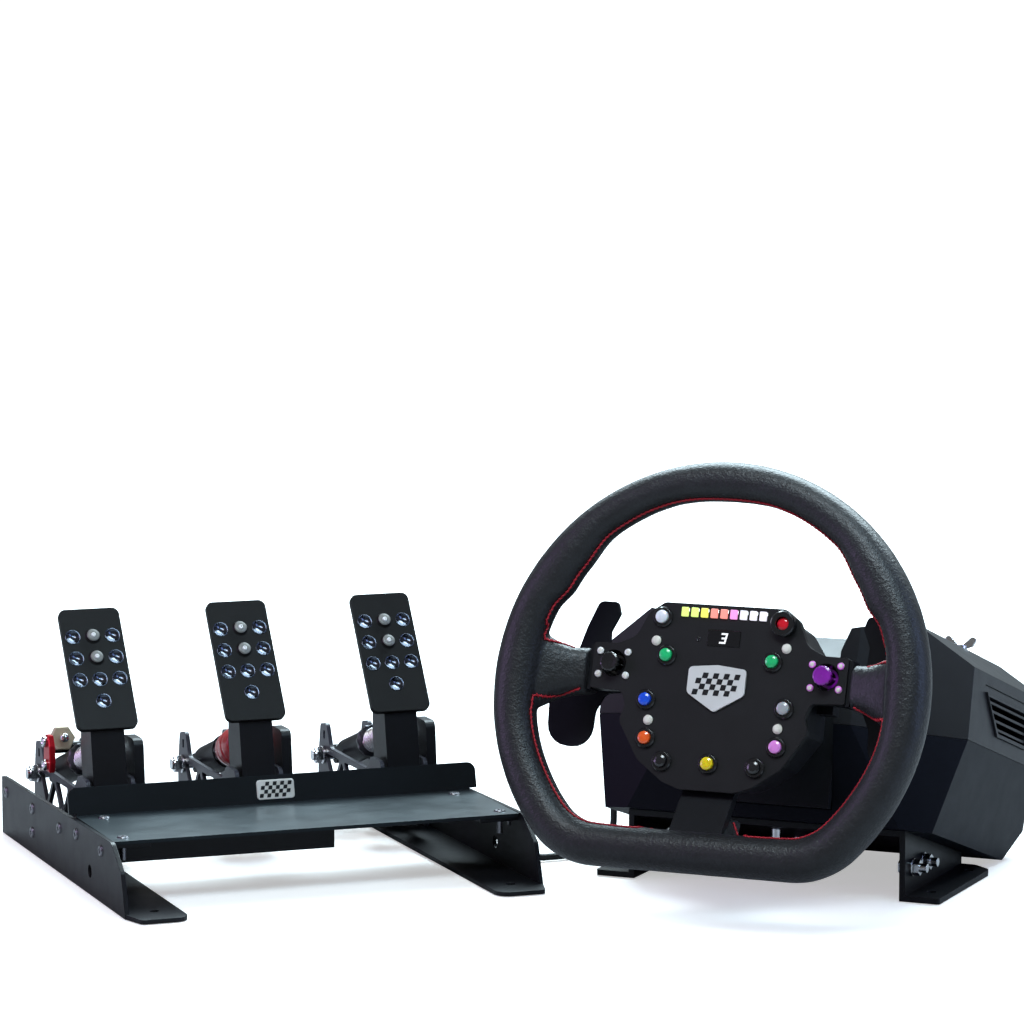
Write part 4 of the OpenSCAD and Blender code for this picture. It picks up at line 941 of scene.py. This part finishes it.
def make_face_screws():
    """Two screws on washers up the middle of each face, their near-white heads a painted glint."""
    washer = turned(scaled((4.4, 0), (4.5, 0.3), (4.0, 0.7), (1.5, 0.75)))
    head = turned(scaled((1.7, 0.4), (1.7, 1.0), (1.4, 1.6), (0.8, 1.9), (0.7, 1.4)), 24)
    for name in PEDAL_NAMES:
        face = face_matrix(name)
        # The near-white heads are a painted glint on each washer
        for word, part, look, slot in (("washers", washer, "washer", "grey_steel"),
                                       ("screws", head, "pearl_bolt_and_glint", "bright_steel")):
            verts, faces = merge([placed(part, at(0, row, SCREW_LEVEL)) for row in SCREW_ROWS])
            new_piece(name + "_face_" + word, verts, faces, LOOKS[look], name + "_pedal", slot, face)


def make_hole_rims():
    """Polished countersinks round the empty holes of each face."""
    rim = turned(scaled((5.5, -0.1), (5.5, 0.12), (5.1, 0.2), (4.4, -0.5), (4.2, -1.6), (3.4, -2.2)))
    spots = [(side * HOLE_X, row) for row in HOLE_ROWS for side in (-1, 1)] + [(0, 37.5), (0, 21)]
    for name in PEDAL_NAMES:
        verts, faces = merge([placed(rim, at(x, row, HOLE_LEVEL)) for x, row in spots])
        new_piece(name + "_hole_rims", verts, faces, LOOKS["rim_metal"], name + "_pedal", "black_steel",
                  face_matrix(name))


def make_clutch_adjuster():
    """Red lever on the clutch bracket's outside and the gold hexagon nut above its damper's rear end."""
    # The lever's outline about its middle, drawn in a little at both faces
    outline = [(-7, -13), (5, -13), (8, -8), (7, 4), (3, 13), (-4, 13), (-8, 6), (-9, -6)]
    lever_y, lever_z = 228.5, 65
    layers = ((-0.1229, 0.93), (-0.1235, 1.0), (-0.1267, 1.0), (-0.1273, 0.93))
    rings = [[Vector((x, (y * k + lever_y) * MM, (z * k + lever_z) * MM)) for y, z in outline]
             for x, k in layers]
    new_piece("clutch_lever", *loft(rings), LOOKS["red_metal"], "base", "red_rubber", PEDALS, False)

    sideways = Matrix.Rotation(-math.pi / 2, 4, "Y")
    bolt = turned(scaled((3.6, 0), (3.8, 0.4), (3.8, 2.6), (3.2, 3.2), (1.6, 3.2), (1.5, 1.8)), 24)
    bolt_x = -127.2
    verts, faces = merge([placed(bolt, at(bolt_x, y, z) @ sideways) for y, z in ((229, 73), (227.5, 57))])
    new_piece("clutch_lever_bolts", verts, faces, LOOKS["chrome"], "base", "bright_steel", PEDALS)

    # The nut and its stem share an axis that points towards the driver and a little up
    stem_axis = at(-107, 262, 69) @ Matrix.Rotation(math.radians(78), 4, "X")
    nut = placed(turned(scaled((8.6, -3), (9.4, -2.4), (9.4, 2.4), (8.6, 3)), 6), stem_axis)
    new_piece("clutch_nut", *nut, LOOKS["gold"], "base", "bright_steel", PEDALS, False)
    stem = placed(turned(scaled((3.0, -16), (3.2, -15), (3.2, 9), (2.6, 10)), 20), stem_axis)
    new_piece("clutch_stem", *stem, LOOKS["chrome"], "base", "bright_steel", PEDALS)

    block_y = 269
    across = at(-105, block_y, 62) @ Matrix.Rotation(math.pi / 2, 4, "Y")
    bridge = placed(turned(scaled((3.0, -15), (3.0, 15)), 20), across)
    block = placed(small_plate(14, 12, 2, -6, 6, 1), at(-107, block_y, 64))
    verts, faces = merge([bridge, block])
    new_piece("clutch_adjuster_block", verts, faces, LOOKS["box"], "base", "box_plastic", PEDALS, False)


make_grip()
make_lamps()
make_digit()
make_badges()
make_stick_bolts()
make_sockets()
make_springs()
make_face_screws()
make_hole_rims()
make_clutch_adjuster()
paint_nodes()

# ---- stage ----


def make_floor():
    """A wide pale floor, white to the camera far away; its reflected light is weaker, so blacks stay deep."""
    half, level = 60.0, -0.0005
    verts = [(-half, -half, level), (half, -half, level), (half, half, level), (-half, half, level)]
    s = Shader("floor")
    tone = s.mix(s.ranged(s.noise(3.0), 0.3, 0.7, 0, 1), (0.86, 0.86, 0.86, 1), (0.89, 0.89, 0.89, 1))
    seen = s.add("ShaderNodeLightPath").outputs["Is Camera Ray"]
    tone = s.mix(seen, (0.30, 0.30, 0.31, 1), tone)
    away = s.add("ShaderNodeVectorMath", operation="LENGTH")
    s.link(s.coords, away.inputs[0])
    glow = s.ranged(away.outputs["Value"], 0.8, 3.0, 0.46, 0.96)
    s.put(s.bsdf, Base_Color=tone, Roughness=0.55, Specular_IOR_Level=0.1)
    s.put(s.bsdf, Emission_Color=WHITE, Emission_Strength=s.math("MULTIPLY", seen, glow))
    new_piece("floor", verts, [(0, 1, 2, 3)], s.mat, None, None)


CAMERA_PLACE = (1.0657, -2.9017, 0.6275)
CAMERA_YAW = math.radians(23.79)
CAMERA_PITCH = math.radians(7.21)
CAMERA_LENS = 161.3
CAMERA_SHIFT = (0.0017, 0.017)
LIGHT_TARGET = (-0.15, -0.05, 0.12)
RIM_TARGET = (0.02, -0.12, 0.28)


def make_camera():
    """The camera at the viewing angle, with the object low in a square frame."""
    data = bpy.data.cameras.new("camera")
    data.lens = CAMERA_LENS
    data.sensor_width = 36
    data.shift_x, data.shift_y = CAMERA_SHIFT
    data.clip_start = 0.05
    camera = bpy.data.objects.new("camera", data)
    camera.location = CAMERA_PLACE
    camera.rotation_euler = (math.pi / 2 - CAMERA_PITCH, 0, CAMERA_YAW)
    bpy.context.collection.objects.link(camera)
    bpy.context.scene.camera = camera


def area_light(name, place_m, target, size, power, colour):
    """A soft rectangular light that the camera doesn't see."""
    data = bpy.data.lights.new(name, "AREA")
    data.shape = "RECTANGLE"
    data.size, data.size_y = size
    data.energy = power
    data.color = colour
    lamp = bpy.data.objects.new(name, data)
    lamp.location = place_m
    aim = Vector(target) - Vector(place_m)
    lamp.rotation_euler = aim.to_track_quat("-Z", "Y").to_euler()
    lamp.visible_camera = False
    bpy.context.collection.objects.link(lamp)


def make_lights():
    """Soft lights above and behind, faintly tinted ones at the sides, and a dim world."""
    area_light("key", (0.1, -1.7, 2.6), LIGHT_TARGET, (1.4, 0.9), 28, (1.0, 0.99, 0.97))
    area_light("overhead", (0.25, -0.60, 1.0), RIM_TARGET, (0.8, 0.25), 6, (0.58, 0.84, 1.0))
    area_light("top", (-0.4, 1.5, 1.9), LIGHT_TARGET, (2.6, 1.2), 165, (0.74, 0.92, 1.0))
    area_light("right_blue", (1.9, 0.1, 0.8), LIGHT_TARGET, (0.8, 1.3), 11, (0.40, 0.55, 1.0))
    area_light("left_violet", (-2.0, -1.3, 0.8), LIGHT_TARGET, (0.8, 1.3), 13, (0.72, 0.50, 1.0))
    make_world()


def make_world():
    """White to the camera and dim to the object."""
    world = bpy.data.worlds.new("world")
    world.use_nodes = True
    background = world.node_tree.nodes["Background"]
    background.inputs["Color"].default_value = WHITE
    seen = world.node_tree.nodes.new("ShaderNodeLightPath").outputs["Is Camera Ray"]
    level = world.node_tree.nodes.new("ShaderNodeMapRange")
    level.inputs["To Min"].default_value = 0.16
    level.inputs["To Max"].default_value = 1.0
    world.node_tree.links.new(seen, level.inputs["Value"])
    world.node_tree.links.new(level.outputs["Result"], background.inputs["Strength"])
    bpy.context.scene.world = world
    bpy.context.scene.view_settings.view_transform = "Standard"


make_floor()
make_camera()
make_lights()
